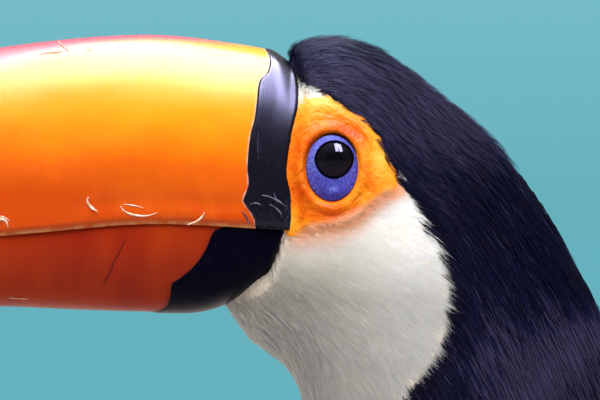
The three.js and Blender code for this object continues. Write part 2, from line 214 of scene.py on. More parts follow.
# ---- Skin of the body ---------------------------------------------------------------------
# One skin from the chin to the root of the tail, of soft living skin over muscle. It is swept
# through the slices of the body, from the throat and belly line to the crown and back line, and
# lies inside the outline by the depth of the feathers that grow on it.
BODY = np.array([  # throat and belly line, crown and back line, half width, narrowing of the back
    [-16.5, -19.6, -6, 30, 12, -0.3], [-9.5, -29, -2.2, 42.5, 19, -0.1],
    [-1, -35.5, 4.2, 47.5, 21.6, 0.02], [3, -43, 13.4, 48.5, 23.6, 0.06],
    [4, -51, 24, 44.9, 26, 0.08], [3.8, -60, 37, 34.8, 29, 0.08],
    [3.4, -70, 51.8, 21.3, 33, 0.06], [3, -81, 66, 2.5, 37.5, 0.04],
    [4, -94, 77, -14.5, 41.5, 0.02], [9, -110, 88, -36, 44, 0],
    [19, -128, 101, -62, 45, 0], [34, -148, 115, -90, 43, 0],
    [53, -166, 128, -116, 38, 0.02], [78, -180, 140, -139, 30, 0.04],
    [104, -187, 149, -154, 22.5, 0.04], [127, -190, 156.5, -166, 16, 0],
    [143, -188, 162, -173, 10.5, 0]])
BODY_POWER = 2.15
LAST_SLICE = len(BODY) - 1


def smooth_line(points, stations):
    """A centripetal Catmull-Rom curve through the points, read at station numbers."""
    p = np.asarray(points, float)
    p = np.vstack([2 * p[0] - p[1], p, 2 * p[-1] - p[-2]])
    s = np.clip(np.asarray(stations, float), 0, len(p) - 3)
    i = np.minimum(s.astype(int), len(p) - 4)
    t = (s - i)[:, None]
    a, b, c, d = (p[i + k] for k in range(4))
    ab, bc, cd = (np.linalg.norm(q, axis=1)[:, None].clip(1e-9) ** 0.5
                  for q in (b - a, c - b, d - c))
    start = bc * ((b - a) / ab - (c - a) / (ab + bc) + (c - b) / bc)
    stop = bc * ((c - b) / bc - (d - b) / (bc + cd) + (d - c) / cd)
    return (b + start * t + (3 * (c - b) - 2 * start - stop) * t ** 2
            + (2 * (b - c) + start + stop) * t ** 3)


def signed_power(value, power):
    return np.sign(value) * np.abs(value) ** power


def body_surface(stations, angles, depth=0.0):
    """Millimetre x, along and up on the body, depth below its outline. Angle 0 is the back."""
    front = smooth_line(BODY[:, [4, 0, 1]], stations)
    back = smooth_line(BODY[:, [5, 2, 3]], stations)
    half = front[:, 0] - depth
    taper = back[:, 0]
    middle = (front[:, 1:] + back[:, 1:]) / 2
    reach = back[:, 1:] - middle
    length = np.linalg.norm(reach, axis=1)
    reach = reach * ((length - depth) / length)[:, None]
    rise = signed_power(np.cos(angles), 2 / BODY_POWER)
    side = signed_power(np.sin(angles), 2 / BODY_POWER) * (1 - taper * rise)
    place = middle + reach * rise[:, None]
    return half * side, place[:, 0], place[:, 1]


def quad_grid(tall, wide, wrapped, first=0):
    """Faces of a grid of points, tall rows by wide columns, closed sideways when wrapped."""
    row, column = np.meshgrid(np.arange(tall - 1), np.arange(wide if wrapped else wide - 1),
                              indexing="ij")
    beside = (column + 1) % wide
    a, b = row * wide + column, row * wide + beside
    return first + np.stack([a, b, b + wide, a + wide], -1).reshape(-1, 4)


def coat_depth(stations):
    """How far the skin lies under the outline: thin on the face, thick on the trunk."""
    return np.interp(stations, [0, 1.2, 3, 5, 8, 12, 16], [0.6, 0.9, 1.3, 2.2, 3.4, 3.4, 2.0])

RIDGE = [[0, 44.2], [-12.7, 46.7], [-35.5, 49], [-73.6, 45.9], [-100, 40.8], [-125, 33],
         [-150, 21.6], [-170, 8.8], [-184, -3.5], [-192, -12.5], [-BILL_LENGTH, -17.5]]
MOUTH = [[0, 0], [-35.5, 1.6], [-61.4, -0.4], [-100, -4], [-130, -7.5], [-160, -11.5],
         [-184, -15.5], [-BILL_LENGTH, -18.4]]
KEEL = [[0, -1.2], [-1.8, -4], [-3.2, -9], [-5.5, -14], [-9, -15.9], [-16.2, -19.2],
        [-22.8, -21.1], [-35, -21.3], [-73.6, -20], [-120, -19.4], [-155, -18.8], [-185, -18.2]]
REAR_EDGE = [[0, 0.2], [8, 0.2], [14, -1], [23, 0], [33, 2.1], [42, 0.7], [46, -1.5]]
BILL_HALF = 20.3
BILL_POWER = 2.15


def read_line(points, where):
    """The second coordinate of a smooth line of points at values of its first coordinate."""
    line = smooth_line(points, np.linspace(0, len(points) - 1, 40 * len(points)))
    order = np.argsort(line[:, 0])
    return np.interp(where, line[order, 0], line[order, 1])


def bill_half(along):
    share = np.clip(-along / (BILL_LENGTH + 2), 0, 1)
    return BILL_HALF * (1 - 0.3 * share) * np.sqrt(1 - share ** 6)


def smooth_step(low, high, value):
    t = np.clip((value - low) / (high - low), 0, 1)
    return t * t * (3 - 2 * t)


def tucked_into_bill(x, along, up):
    """Draws the front of the head in, so that it ends inside the rear of the bill."""
    ridge, mouth = read_line(RIDGE, np.minimum(along, 0)), read_line(MOUTH, np.minimum(along, 0))
    keel = read_line(KEEL, np.minimum(along, 0))
    edge = read_line(REAR_EDGE, up)
    above = up >= mouth
    rise = np.where(above, (up - mouth) / (ridge - mouth), (mouth - up) / (mouth - keel))
    width = bill_half(np.minimum(along, 0))
    crowd = np.abs(x / width) ** BILL_POWER + np.abs(rise) ** BILL_POWER
    pull = np.minimum(1, (0.84 / crowd.clip(1e-6)) ** (1 / BILL_POWER))
    inside = smooth_step(edge + 2.2, edge - 0.6, along) * (up > mouth - 1)
    beside_jaw = smooth_step(-0.2, 1.4, up - keel) * (up <= mouth - 1) * (along < 0)
    inside = np.maximum(inside, beside_jaw)
    pull = 1 - (1 - pull) * inside
    return x * pull, along, mouth + (up - mouth) * pull


# The bare face: its outline, the ring of blue skin in it, and the opening that the eye looks
# out of. All three are read as distances from the middle of the eye, all the way round.
EYE_RADIUS, EYE_X = 7.3, 16.9
EYE_PLACE = np.array([11.2, 17.3])
OPENING = (4.85, 4.6)
RING_PLACE, RING_REACH = np.array([10.5, 15.2]), (6.6, 8.5)
FACE_OUTLINE = np.array([[0.6, 31.6], [3.3, 33.1], [5.6, 33.9], [8.4, 33.8], [11.4, 32], [15.2, 29.4],
    [20.1, 25.9], [22.3, 22.8], [24.1, 18.5], [25.8, 15.5], [27.6, 11.8], [28.4, 8.9], [24.4, 7.2],
    [20.5, 4.7], [16.8, 1.4], [12.2, 0], [7.6, -0.6], [4, -1.6], [-0.8, -1.6], [-2.2, 5.8],
    [-2.8, 10.2], [-3, 15.5], [-2.4, 21.7], [-1.8, 25.9], [-1.4, 29.4]])
LOOKS = 224  # spokes of the face, round the eye
look_angles = np.arange(LOOKS) * 2 * np.pi / LOOKS


def round_the_eye(outline):
    """Distance from the middle of the eye to a closed outline, along every spoke."""
    offset = np.asarray(outline) - EYE_PLACE
    angle = np.arctan2(offset[:, 1], offset[:, 0]) % (2 * np.pi)
    order = np.argsort(angle)
    far = np.interp(look_angles, angle[order], np.hypot(*offset.T)[order], period=2 * np.pi)
    soft = np.array([1, 3, 5, 3, 1]) / 13
    return sum(weight * np.roll(far, shift - 2) for shift, weight in enumerate(soft))


turns = np.linspace(0, 2 * np.pi, 400)
opening_far = round_the_eye(np.stack([
    EYE_PLACE[0] + OPENING[0] * np.cos(turns) - 0.35 * np.sin(turns - 0.6) ** 2 * (turns > 3),
    EYE_PLACE[1] + OPENING[1] * np.sin(turns)], 1))
ring_far = round_the_eye(RING_PLACE + np.stack(
    [RING_REACH[0] * np.cos(turns), RING_REACH[1] * np.sin(turns)], 1))
face_far = round_the_eye(FACE_OUTLINE)


def face_share(along, up):
    """0 at the middle of the eye, 1 at the edge of the bare face, more outside it."""
    offset = np.stack([along - EYE_PLACE[0], up - EYE_PLACE[1]])
    angle = np.arctan2(offset[1], offset[0]) % (2 * np.pi)
    return np.hypot(*offset) / np.interp(angle, look_angles, face_far, period=2 * np.pi)


# The white of the throat and lore ends at this closed line. What it shuts out is black or red.
WHITE_EDGE = np.array([[-40, 40], [-2, 40], [1.8, 38.1], [7.1, 34.7], [10.6, 31.4], [13.4, 27.6],
    [18, 23], [22, 17.5], [25.4, 15], [28.4, 12.6], [32.7, 4.3], [35.3, 0], [38.1, -4.8], [40.1, -10.2],
    [41.4, -15.2], [39.8, -19], [40.4, -23.9], [39.1, -29.2], [36.3, -33.5], [33.2, -37.8],
    [29.4, -42.9], [26, -52], [22, -62], [17, -73], [12, -84], [7, -94], [0, -100], [-40, -100]])


def inside_by(outline, along, up):
    """How far a point is inside a closed outline, in mm. Less than 0 is outside it."""
    start, stop = outline, np.roll(outline, -1, axis=0)
    point = np.stack([along, up], 1)[:, None]
    edge = stop - start
    t = np.clip(((point - start) * edge).sum(2) / (edge ** 2).sum(1), 0, 1)
    far = np.linalg.norm(point - start - t[..., None] * edge, axis=2).min(1)
    high = (start[:, 1] > point[..., 1]) != (stop[:, 1] > point[..., 1])
    cross = start[:, 0] + (point[..., 1] - start[:, 1]) * edge[:, 0] / (edge[:, 1] + 1e-12)
    return np.where((high & (point[..., 0] < cross)).sum(1) % 2 == 1, far, -far)


SLICES, SPOKES = 188, 144
station_grid, angle_grid = (g.ravel() for g in np.meshgrid(
    np.linspace(0, LAST_SLICE, SLICES), np.arange(SPOKES) * 2 * np.pi / SPOKES, indexing="ij"))
outline_tree = BVHTree.FromPolygons(
    rows(*body_surface(station_grid, angle_grid, 0.2)).tolist(),
    quad_grid(SLICES, SPOKES, True).tolist())


def side_of_head(along, up):
    """How far the outline of the head is from the middle plane, seen square from the side."""
    reach = []
    for a, z in zip(along, up):
        start = at(80, a, z)
        hit = outline_tree.ray_cast(start, Vector((-1, 0, 0)))[0]
        reach.append(hit.x / MM if hit else 0)
    return np.array(reach)


nape = np.exp(-((station_grid - 5.9) / 1.4) ** 2) * np.cos(angle_grid).clip(0)
loft_x, loft_along, loft_up = tucked_into_bill(
    *body_surface(station_grid, angle_grid, coat_depth(station_grid) - 1.6 * nape))
under_face = smooth_step(1.0, 0.9, face_share(loft_along, loft_up)) * (np.abs(loft_x) > 10)
loft_x = loft_x - np.sign(loft_x) * 4 * under_face
loft_points = rows(loft_x, loft_along, loft_up)
loft_faces = quad_grid(SLICES, SPOKES, True).tolist()
for ring, turned in ((0, False), (SLICES - 1, True)):
    middle = len(loft_points)
    loft_points = np.vstack([loft_points, loft_points[ring * SPOKES:][:SPOKES].mean(0)])
    for k in range(SPOKES):
        pair = [ring * SPOKES + k, ring * SPOKES + (k + 1) % SPOKES]
        loft_faces.append([middle] + (pair if turned else pair[::-1]))

# ---- Thighs, wings and legs ---------------------------------------------------------------
# All are part of the one skin. The thighs are feathered to the ankles and the wings lie folded
# along the flanks. Below them the legs are bare, with overlapping scutes of grey-blue skin.
FLOOR_UP = -mouth_z / MM


def lumpy(points, scale, seed=0.0):
    """Smooth unevenness from -1 to 1 at points given in mm, with lumps scale mm apart."""
    return np.array([noise.noise(Vector((p[0] / scale, p[1] / scale, p[2] / scale + seed)))
                     for p in points])


def capped(grid, flip=False):
    """Points and faces of a closed shell through rows of rings, with both ends filled."""
    tall, wide = grid.shape[:2]
    points = np.vstack([grid.reshape(-1, 3), grid[0].mean(0), grid[-1].mean(0)])
    faces = quad_grid(tall, wide, True).tolist()
    for k in range(wide):
        after = (k + 1) % wide
        faces.append([tall * wide, after, k])
        faces.append([tall * wide + 1, (tall - 1) * wide + k, (tall - 1) * wide + after])
    if flip:
        faces = [face[::-1] for face in faces]
    return points, faces


def limb_rings(stations, tall, wide):
    """Centres, radii and the two cross directions down a limb, through its stations."""
    stations = np.array(stations, float)
    steps = np.linspace(0, len(stations) - 1, tall)
    centre, radii = smooth_line(stations[:, :3], steps), smooth_line(stations[:, 3:], steps)
    ahead = np.gradient(centre, axis=0)
    ahead /= np.linalg.norm(ahead, axis=1)[:, None]
    across = np.array([1, 0, 0]) - ahead * ahead[:, :1]
    across /= np.linalg.norm(across, axis=1)[:, None]
    fore = np.cross(ahead, across)
    angle = np.arange(wide) * 2 * np.pi / wide
    return centre, radii, across, fore, angle


def limb_grid(stations, tall, wide, swell=0.0):
    """Rings of points round a limb. Swell is added to its radii, one value for each point."""
    centre, radii, across, fore, angle = limb_rings(stations, tall, wide)
    out = (across[:, None] * ((radii[:, :1] + swell) * np.cos(angle))[..., None]
           + fore[:, None] * ((radii[:, 1:] + swell) * np.sin(angle))[..., None])
    place = centre[:, None] + out
    return rows(place[..., 0], place[..., 1], place[..., 2] + FLOOR_UP).reshape(tall, wide, 3)


def thigh_stations(side):
    """x, along, height above the floor, and the radii across and along."""
    return [[side * 20, 74, 126, 15, 20], [side * 24, 72, 100, 15.5, 22],
            [side * 24.5, 76, 77, 11, 14.5], [side * 25, 81, 57, 5.6, 7],
            [side * 25, 82.5, 52, 4.6, 5]]


WING = np.array([  # upper edge, lower edge, x at the edges, x at the middle, thickness
    [33, -70, 23, -90, 30, 44, 14], [50, -56, 27, -108, 33, 49.5, 16],
    [74, -58, 42, -130, 32, 51.5, 18], [99, -80, 64, -150, 27, 50.5, 18],
    [121, -107, 92, -167, 20, 45, 18], [141, -130, 119, -175, 15, 36, 15],
    [159, -149, 145, -179, 12.5, 28, 9], [178, -165, 170, -183, 11, 20.5, 5],
    [198, -181, 194, -192, 9.5, 14.5, 3], [214, -193, 213, -199, 8.5, 10.5, 2]])
WING_COAT = 1.6


def wing_surface(side, outward, downward, depth=0.0):
    """A point on the outside of a folded wing: outward is 0 at the shoulder and 1 at the tip of
    the wing, and downward is 0 at its upper edge and 1 at its lower one."""
    station = np.clip(outward, 0, 1) * (len(WING) - 1)
    line = smooth_line(WING, station.ravel()).reshape(station.shape + (7,))
    place = line[..., 0:2] + (line[..., 2:4] - line[..., 0:2]) * downward[..., None]
    bulge = np.sin(np.pi * np.clip(downward, 0, 1)) ** 0.8
    x = line[..., 4] + (line[..., 5] - line[..., 4]) * bulge - depth
    return side * x, place[..., 0], place[..., 1], line[..., 6]


THIGH, WING_PART, LEG = 1, 2, 3
THIGH_RINGS, THIGH_SPOKES = 40, 40
limb_parts = []  # points, faces, place on the unwrap, points in a ring, which limb
for side in (1, -1):
    points, faces = capped(limb_grid(thigh_stations(side), THIGH_RINGS, THIGH_SPOKES, -1.5))
    turn = np.tile(np.arange(THIGH_SPOKES) * 2 * np.pi / THIGH_SPOKES, THIGH_RINGS)
    down = np.repeat(np.linspace(0, 1, THIGH_RINGS), THIGH_SPOKES)
    kind = np.stack([np.cos(turn), np.sin(turn), down], 1)
    limb_parts.append((points, faces, np.vstack([kind, kind[-2:]]), THIGH_SPOKES, THIGH))
WING_ROWS, WING_OUTER, WING_INNER = 90, 30, 14
for side in (1, -1):
    outward, downward = np.meshgrid(np.linspace(0.0, 1, WING_ROWS),
                                    np.linspace(0, 1, WING_OUTER), indexing="ij")
    x, a, z, thick = wing_surface(side, outward, downward, WING_COAT)
    back_x, back_a, back_z, back_thick = wing_surface(
        side, outward[:, :WING_INNER], np.linspace(0.96, 0.04, WING_INNER)
        + 0 * outward[:, :WING_INNER], WING_COAT)
    back_x = back_x - side * np.maximum(back_thick - WING_COAT - 0.6, 0.6)
    ring = rows(np.hstack([x, back_x]), np.hstack([a, back_a]), np.hstack([z, back_z]))
    ring = ring.reshape(WING_ROWS, WING_OUTER + WING_INNER, 3)
    points, faces = capped(ring, side < 0)
    turn = np.concatenate([np.linspace(0.1, 3.1, WING_OUTER), np.linspace(3.3, 6.1, WING_INNER)])
    kind = np.stack([np.tile(np.cos(turn), WING_ROWS), np.tile(np.sin(turn), WING_ROWS),
                     np.repeat(np.linspace(0, 1, WING_ROWS), len(turn))], 1)
    limb_parts.append((points, faces, np.vstack([kind, kind[-2:]]), WING_OUTER + WING_INNER,
                       WING_PART))

TOES = (  # name, turn out of straight ahead, length, radius, claw, scutes
    ("outer_front", -16, 50, 3.7, 14, 15), ("inner_front", 24, 36, 3.4, 12, 11),
    ("outer_rear", -150, 43, 3.5, 13, 13), ("inner_rear", 152, 25, 3.2, 11, 8))
FOOT = (26, 55)


def shank_stations(side):
    return [[side * x, a, z, wide, deep] for x, a, z, wide, deep in (
        (25, 82.7, 54, 3.9, 4.4), (25, 80.5, 45, 3.9, 4.4), (25.3, 73, 32, 3.0, 3.4),
        (26, 60, 17, 3.2, 3.6), (26, 55, 9, 4.6, 4.6), (26, 54.5, 3.4, 5.0, 5.0),
        (26, 54.5, 2.4, 4.0, 4.0))]


def toe_stations(side, turn, length, radius):
    """Stations of a toe, from inside the foot to the root of its claw."""
    stations = []
    for k in range(9):
        share = k / 8
        swell = radius * (1 - 0.3 * share) * (1 + 0.07 * math.cos(6 * math.pi * share))
        lift = radius * 0.8 + 1.5 * (1 - share) ** 3
        stations.append([side * FOOT[0] - math.sin(math.radians(turn) * side) * length * share,
                         FOOT[1] - math.cos(math.radians(turn)) * length * share,
                         lift, swell, swell * 0.94])
    blunt = list(stations[-1])
    blunt[0] -= math.sin(math.radians(turn) * side) * 0.7
    blunt[1] -= math.cos(math.radians(turn)) * 0.7
    return stations + [blunt[:3] + [0.66 * blunt[3], 0.66 * blunt[4]]]


def scute_swell(tall, wide, count, top):
    """Scutes lap over each other down the side that top is the angle of. The rest is pebbled."""
    down, round_it = np.meshgrid(np.linspace(0, 1, tall), np.arange(wide) * 2 * np.pi / wide,
                                 indexing="ij")
    on_top = smooth_step(-0.1, 0.35, np.cos(round_it - top))
    lap = (down * count) % 1
    plates = 0.5 * lap ** 1.2 - 0.5 * smooth_step(0.9, 1.0, lap)
    seed_points = np.stack([6 * np.cos(round_it), 6 * np.sin(round_it), down * 2.2 * count], -1)
    pebbles = lumpy(seed_points.reshape(-1, 3), 1.6).reshape(tall, wide)
    return on_top * plates + (1 - on_top) * 0.3 * np.abs(pebbles)


for side in (1, -1):
    limbs = [(shank_stations(side), 130, 36, 18, 1.5 * np.pi)]
    for _, turn, length, radius, _, scutes in TOES:
        limbs.append((toe_stations(side, turn, length, radius), 84, 24, scutes, None))
    for stations, tall, wide, scutes, top in limbs:
        centre, radii, across, fore, angle = limb_rings(stations, tall, wide)
        if top is None:
            top = math.pi / 2 if fore[tall // 2, 2] > 0 else 1.5 * math.pi
        else:
            top = math.pi / 2 if fore[tall // 2, 1] < 0 else 1.5 * math.pi
        grid = limb_grid(stations, tall, wide, scute_swell(tall, wide, scutes, top))
        grid[..., 2] = np.maximum(grid[..., 2], 0.0)
        points, faces = capped(grid)
        lap = scute_swell(tall, wide, scutes, top).ravel()
        kind = np.stack([np.append(lap, [0, 0]), 0 * points[:, 0], 1 + 0 * points[:, 0]], 1)
        limb_parts.append((points, faces, kind, wide, LEG))

# ---- The bare face ------------------------------------------------------------------------
# Round each eye the skin is bare: a flat wrinkled ring of blue, and round that a broad patch of
# orange skin, swollen along the ring and folded over the brow. It is part of the one skin.
RING_ROWS, FACE_ROWS, MARGIN_ROWS = 30, 46, 5
MARGIN = 2.6


def bump_at(along, up, place, reach, height, turn=0.0):
    """A smooth oval swelling, or a hollow where height is below 0, on the face."""
    a, z = along - place[0], up - place[1]
    c, s = math.cos(turn), math.sin(turn)
    return height * np.exp(-((a * c + z * s) / reach[0]) ** 2 - ((z * c - a * s) / reach[1]) ** 2)


def crease(along, up, start, stop, width, depth, bow=0.0):
    """A groove from one point to another, bowed to one side and fading out at its ends."""
    start, stop = np.array(start), np.array(stop)
    run = stop - start
    length = np.hypot(*run)
    ahead, beside = run / length, np.array([-run[1], run[0]]) / length
    t = ((along - start[0]) * ahead[0] + (up - start[1]) * ahead[1]) / length
    off = (along - start[0]) * beside[0] + (up - start[1]) * beside[1]
    off = off - bow * 4 * t * (1 - t)
    fade = smooth_step(-0.08, 0.25, t) * smooth_step(1.08, 0.75, t)
    return -depth * fade * np.exp(-(off / width) ** 2)


ring_share = np.linspace(0, 1, RING_ROWS)[:, None]
face_share_rows = np.linspace(0, 1, FACE_ROWS + 1)[1:, None] ** 1.15
margin_share = np.linspace(0, 1, MARGIN_ROWS + 1)[1:, None]
far = np.vstack([opening_far + (ring_far - opening_far) * ring_share,
                 ring_far + (face_far - ring_far) * face_share_rows,
                 face_far + MARGIN * margin_share])
steps = np.vstack([ring_share, 1 + face_share_rows, 2 + margin_share]) + 0 * far
angles = look_angles + 0 * far
along = (EYE_PLACE[0] + far * np.cos(angles)).ravel()
up = (EYE_PLACE[1] + far * np.sin(angles)).ravel()
steps, angles, far = steps.ravel(), angles.ravel(), far.ravel()
head_x = side_of_head(along, up)

# The skin dips to meet the bill, along the bill's rear edge.
bill_edge = read_line(REAR_EDGE, up)
rise = np.clip(up / 44.2, 0, 0.98)
bill_x = BILL_HALF * (1 - rise ** BILL_POWER) ** (1 / BILL_POWER)
near_bill = smooth_step(3.8, -0.2, along - bill_edge)
head_x = head_x + (np.minimum(bill_x + 0.1, head_x) - head_x) * near_bill
head_x = head_x - 1.2 * smooth_step(-0.4, -1.6, along - bill_edge)

on_ball = EYE_X + np.sqrt(np.maximum(EYE_RADIUS ** 2 - far ** 2, 1))
ring_edge_x = head_x[RING_ROWS * LOOKS - LOOKS:RING_ROWS * LOOKS]
groove_x = np.tile(ring_edge_x, len(head_x) // LOOKS) - 0.65
lid_x = EYE_X + math.sqrt(EYE_RADIUS ** 2 - 4.7 ** 2) + 0.62
in_ring = np.clip(steps, 0, 1)
ring_x = lid_x + (groove_x - lid_x) * in_ring ** 1.3 + 0.35 * np.sin(np.pi * in_ring)
ring_x = ring_x - (lid_x - on_ball + 0.5) * smooth_step(0.09, 0.0, steps * (far.clip(1) / 5))
orange = np.clip(steps - 1, 0, 1)
from_ring = (far - np.tile(ring_far, len(far) // LOOKS)).clip(0)
swell = (0.75 * np.exp(-((from_ring - 1.7) / 1.4) ** 2)
         - 1.2 * np.exp(-(from_ring / 0.45) ** 2))
for spot in (((15.6, 24.4), (4.2, 1.5), -0.75, -0.55), ((19.3, 23.4), (4.2, 1.6), 0.5, -0.75),
             ((4, 24), (3.4, 5), 0.25), ((21.5, 12.5), (3.4, 4.6), 0.3)):
    swell = swell + bump_at(along, up, *spot)
for groove in (  # start, stop, width, depth, bow
        ((13, 30.3), (22.4, 21.2), 0.5, 0.34, 0.7), ((17, 25), (20.6, 18), 0.45, 0.2, 0.5),
        ((17.6, 11.4), (20.6, 8.4), 0.32, 0.3, 0.2), ((18.8, 9), (15.8, 6.2), 0.3, 0.26, -0.3),
        ((16.2, 9), (18.8, 7.2), 0.28, 0.22, 0.2), ((4.2, 5.4), (1.8, 0.2), 0.4, 0.5, 0.6),
        ((0.8, 12.4), (4, 15.4), 0.35, 0.22, -0.3), ((1.4, 9.4), (4.3, 12), 0.3, 0.16, -0.2),
        ((2.8, 25.8), (9.4, 27.2), 0.32, 0.16, 0.5), ((2.4, 23.8), (7, 26.2), 0.3, 0.16, 0.4),
        ((4, 28.6), (11, 28.4), 0.35, 0.14, 0.6), ((1.6, 20.8), (4.2, 24.2), 0.35, 0.18, 0.3),
        ((5.6, 4.6), (14.2, 3.2), 0.4, 0.2, -0.8), ((8, 3), (15, 5), 0.3, 0.14, -0.6)):
    swell = swell + crease(along, up, *groove)
grit = np.stack([0 * along, along, up], 1)
stretch = np.stack([9 * np.cos(angles), 9 * np.sin(angles), from_ring * 2.4], 1)
swell = swell + (0.12 * lumpy(grit, 1.5) + 0.1 * lumpy(stretch, 1.1, 7.0)
                 + 0.07 * lumpy(grit, 0.6, 3.0)) * smooth_step(0, 0.8, from_ring)
sink = 1.15 * smooth_step(0.72, 1.0, orange) * smooth_step(1.5, 4.0, along - bill_edge)
orange_x = head_x - sink + swell * smooth_step(1.02, 0.8, orange)
rays = np.stack([26 * np.cos(angles), 26 * np.sin(angles), far * 0.5], 1)
ring_x = ring_x + 0.09 * lumpy(rays, 1.6) * smooth_step(0.12, 0.35, steps)
face_x = np.where(steps <= 1, ring_x, orange_x)
face_x = np.where(steps > 1, np.where(from_ring < 0.35, np.minimum(face_x, groove_x + 2.2 * from_ring),
                                      face_x), face_x)
face_x = face_x - 0.9 * np.clip(steps - 2, 0, 1)

FACE_RINGS = RING_ROWS + FACE_ROWS + MARGIN_ROWS
face_faces = quad_grid(FACE_RINGS, LOOKS, True)
skin_points, skin_faces, skin_kinds = [loft_points], list(loft_faces), [0] * len(loft_faces)
first = len(loft_points)
for side in (1, -1):
    skin_points.append(rows(side * face_x, along, up))
    skin_faces += (face_faces + first)[:, ::-side].tolist()
    row_kinds = [2] * (RING_ROWS - 1) + [1] * (FACE_ROWS + 1) + [0] * (MARGIN_ROWS - 1)
    skin_kinds += np.repeat(row_kinds, LOOKS).tolist()
    first += len(face_x)
limb_points = np.vstack([part[0] for part in limb_parts])
for points, faces, _, _, limb in limb_parts:
    skin_faces += [[i + first for i in face] for face in faces]
    skin_kinds += [3 if limb == LEG else 0] * len(faces)
    first += len(points)
skin_points.append(limb_points)
body_skin = mesh_object("skin", np.vstack(skin_points), skin_faces)
body_skin.data.polygons.foreach_set("material_index", skin_kinds)

# What the skin's materials read from it, one value for each point.
count = len(loft_points)
more = np.zeros(len(limb_points))
# How far the orange skin goes towards red. This is partly the skin's own colour and partly painted
# light: painted shade deepens it in the hollow above the ring, and a painted highlight pales it behind
# the ring.
WARM_AND_SHADED_SPOTS = (  # place, reach, height, turn
    ((15.0, 24.2), (5.4, 2.4), 0.36, -0.55), ((20, 14.5), (2.2, 5.5), 0.3, 0.2),
    ((6.5, 21.5), (4.6, 3.8), 0.34), ((10, 4), (9, 3), 0.3), ((1, 15), (2.6, 9), 0.22),
    ((3, 8.5), (2.6, 3.5), 0.28), ((7, 32.5), (6.5, 3), -0.42), ((0.6, 3), (1.6, 3.4), -0.34),
    ((21.5, 17.5), (3.4, 6), -0.3))
warmth = sum((bump_at(along, up, *spot) for spot in WARM_AND_SHADED_SPOTS), 0.34)
soft_edge = smooth_step(3.4, -0.4, up - np.interp(along, [0, 4, 12, 20, 24, 29],
                                                 [-2.5, -1.6, 0.4, 4.6, 7.4, 8.2]))
pale = soft_edge * smooth_step(1.0, 5.0, along)
# Lighter and darker spots on the ring: a painted highlight on its top, lighter on its left, a small
# pale scar low down and darker blue at its bottom.
LIGHT_SPOTS = (((5.6, 18), (2.6, 5), 0.3), ((9, 23.4), (4, 1.6), 0.25),
               ((10.8, 9.8), (1.2, 0.9), 0.45), ((12, 7.4), (5, 2.4), -0.25))
ring_light = sum((bump_at(along, up, *spot) for spot in LIGHT_SPOTS), 0.42)
dark_rim = np.maximum(np.exp(-((steps - 1) / 0.05) ** 2),
                      smooth_step(0.12, 0.0, steps)) * (steps <= 1.03)
filler = np.zeros(count)
for name, values in (("warmth", warmth), ("pale", pale), ("ring_light", ring_light),
                     ("dark_rim", dark_rim)):
    set_values(body_skin, name, "FLOAT", np.concatenate([filler, values, values, more]))
polar = np.stack([np.cos(angles), np.sin(angles), far / 10], 1)
scute_heights = np.concatenate([part[2][:, 0] * (part[4] == LEG) for part in limb_parts])
set_values(body_skin, "scute", "FLOAT",
           np.concatenate([np.zeros(count + 2 * len(face_x)), scute_heights]))
set_values(body_skin, "round_eye", "FLOAT_VECTOR",
           np.vstack([np.zeros((count, 3)), polar, polar, np.zeros((len(limb_points), 3))]))

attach(body_skin, "root")
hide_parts("head", "neck", "trunk", "rump", "eyelids_left", "eyelids_right",
            *[f"{part}_{side}" for part in ("thigh", "wing", "shank") for side in ("left", "right")],
            *[f"toe_{toe[0]}_{side}" for toe in TOES for side in ("left", "right")])

# Skin under plumage, coloured as the feathers over it.
feather_skin, tree, shader = new_material("feathered_skin")
white_node = put(tree, "Attribute", attribute_name="white_skin")
object_place = put(tree, "TexCoord")
pores = put(tree, "TexNoise", {"Vector": object_place, "Scale": 900.0, "Detail": 3.0})
dark = put(tree, "ValToRGB", {"Fac": pores}, [(0.3, "05061A"), (0.7, "090B24")])
light = put(tree, "ValToRGB", {"Fac": pores}, [(0.3, "D9CDBE"), (0.7, "EFE8DC")])
marked = put(tree, "Mix", {"Factor": white_node, 6: dark, 7: light}, data_type="RGBA")
red_node = put(tree, "Attribute", attribute_name="red_skin")
reddened = put(tree, "Mix", {"Factor": red_node, 6: marked, 7: linear("B01814")}, data_type="RGBA")
feed(shader, {"Base Color": reddened, "Roughness": 0.8, "Specular IOR Level": 0.06})
body_skin.data.materials.append(feather_skin)

# Bare living skin, dyed orange by carotenoids: soft, fine grained, slightly moist. Its redder and
# yellower patches are partly painted shade and painted highlight.
bare_skin, tree, shader = new_material("bare_orange_skin")
warmth_and_shade_node = put(tree, "Attribute", attribute_name="warmth")
pale_node = put(tree, "Attribute", attribute_name="pale")
object_place = put(tree, "TexCoord")
mottle = put(tree, "TexNoise", {"Vector": object_place, "Scale": 420.0, "Detail": 5.0})
fine = put(tree, "TexNoise", {"Vector": object_place, "Scale": 1500.0, "Detail": 4.0})
uneven = put(tree, "Math", {0: mottle, 1: 0.5, 2: -0.25}, operation="MULTIPLY_ADD")
warm_and_shaded = put(tree, "Math", {0: warmth_and_shade_node, 1: uneven}, operation="ADD")
hue = put(tree, "ValToRGB", {"Fac": warm_and_shaded}, [(0.0, "FFC24A"), (0.28, "FF9E1C"), (0.5, "F97A0E"),
    (0.75, "E65206"), (1.0, "B42A04")])
blush = put(tree, "Mix", {"Factor": pale_node, 6: hue, 7: linear("F3B79A")}, data_type="RGBA")
feed(shader, {"Base Color": blush, "Roughness": 0.44, "Specular IOR Level": 0.09})
grain = put(tree, "Bump", {"Height": fine, "Strength": 0.5, "Distance": 0.0004})
feed(shader, {"Normal": grain})
body_skin.data.materials.append(bare_skin)
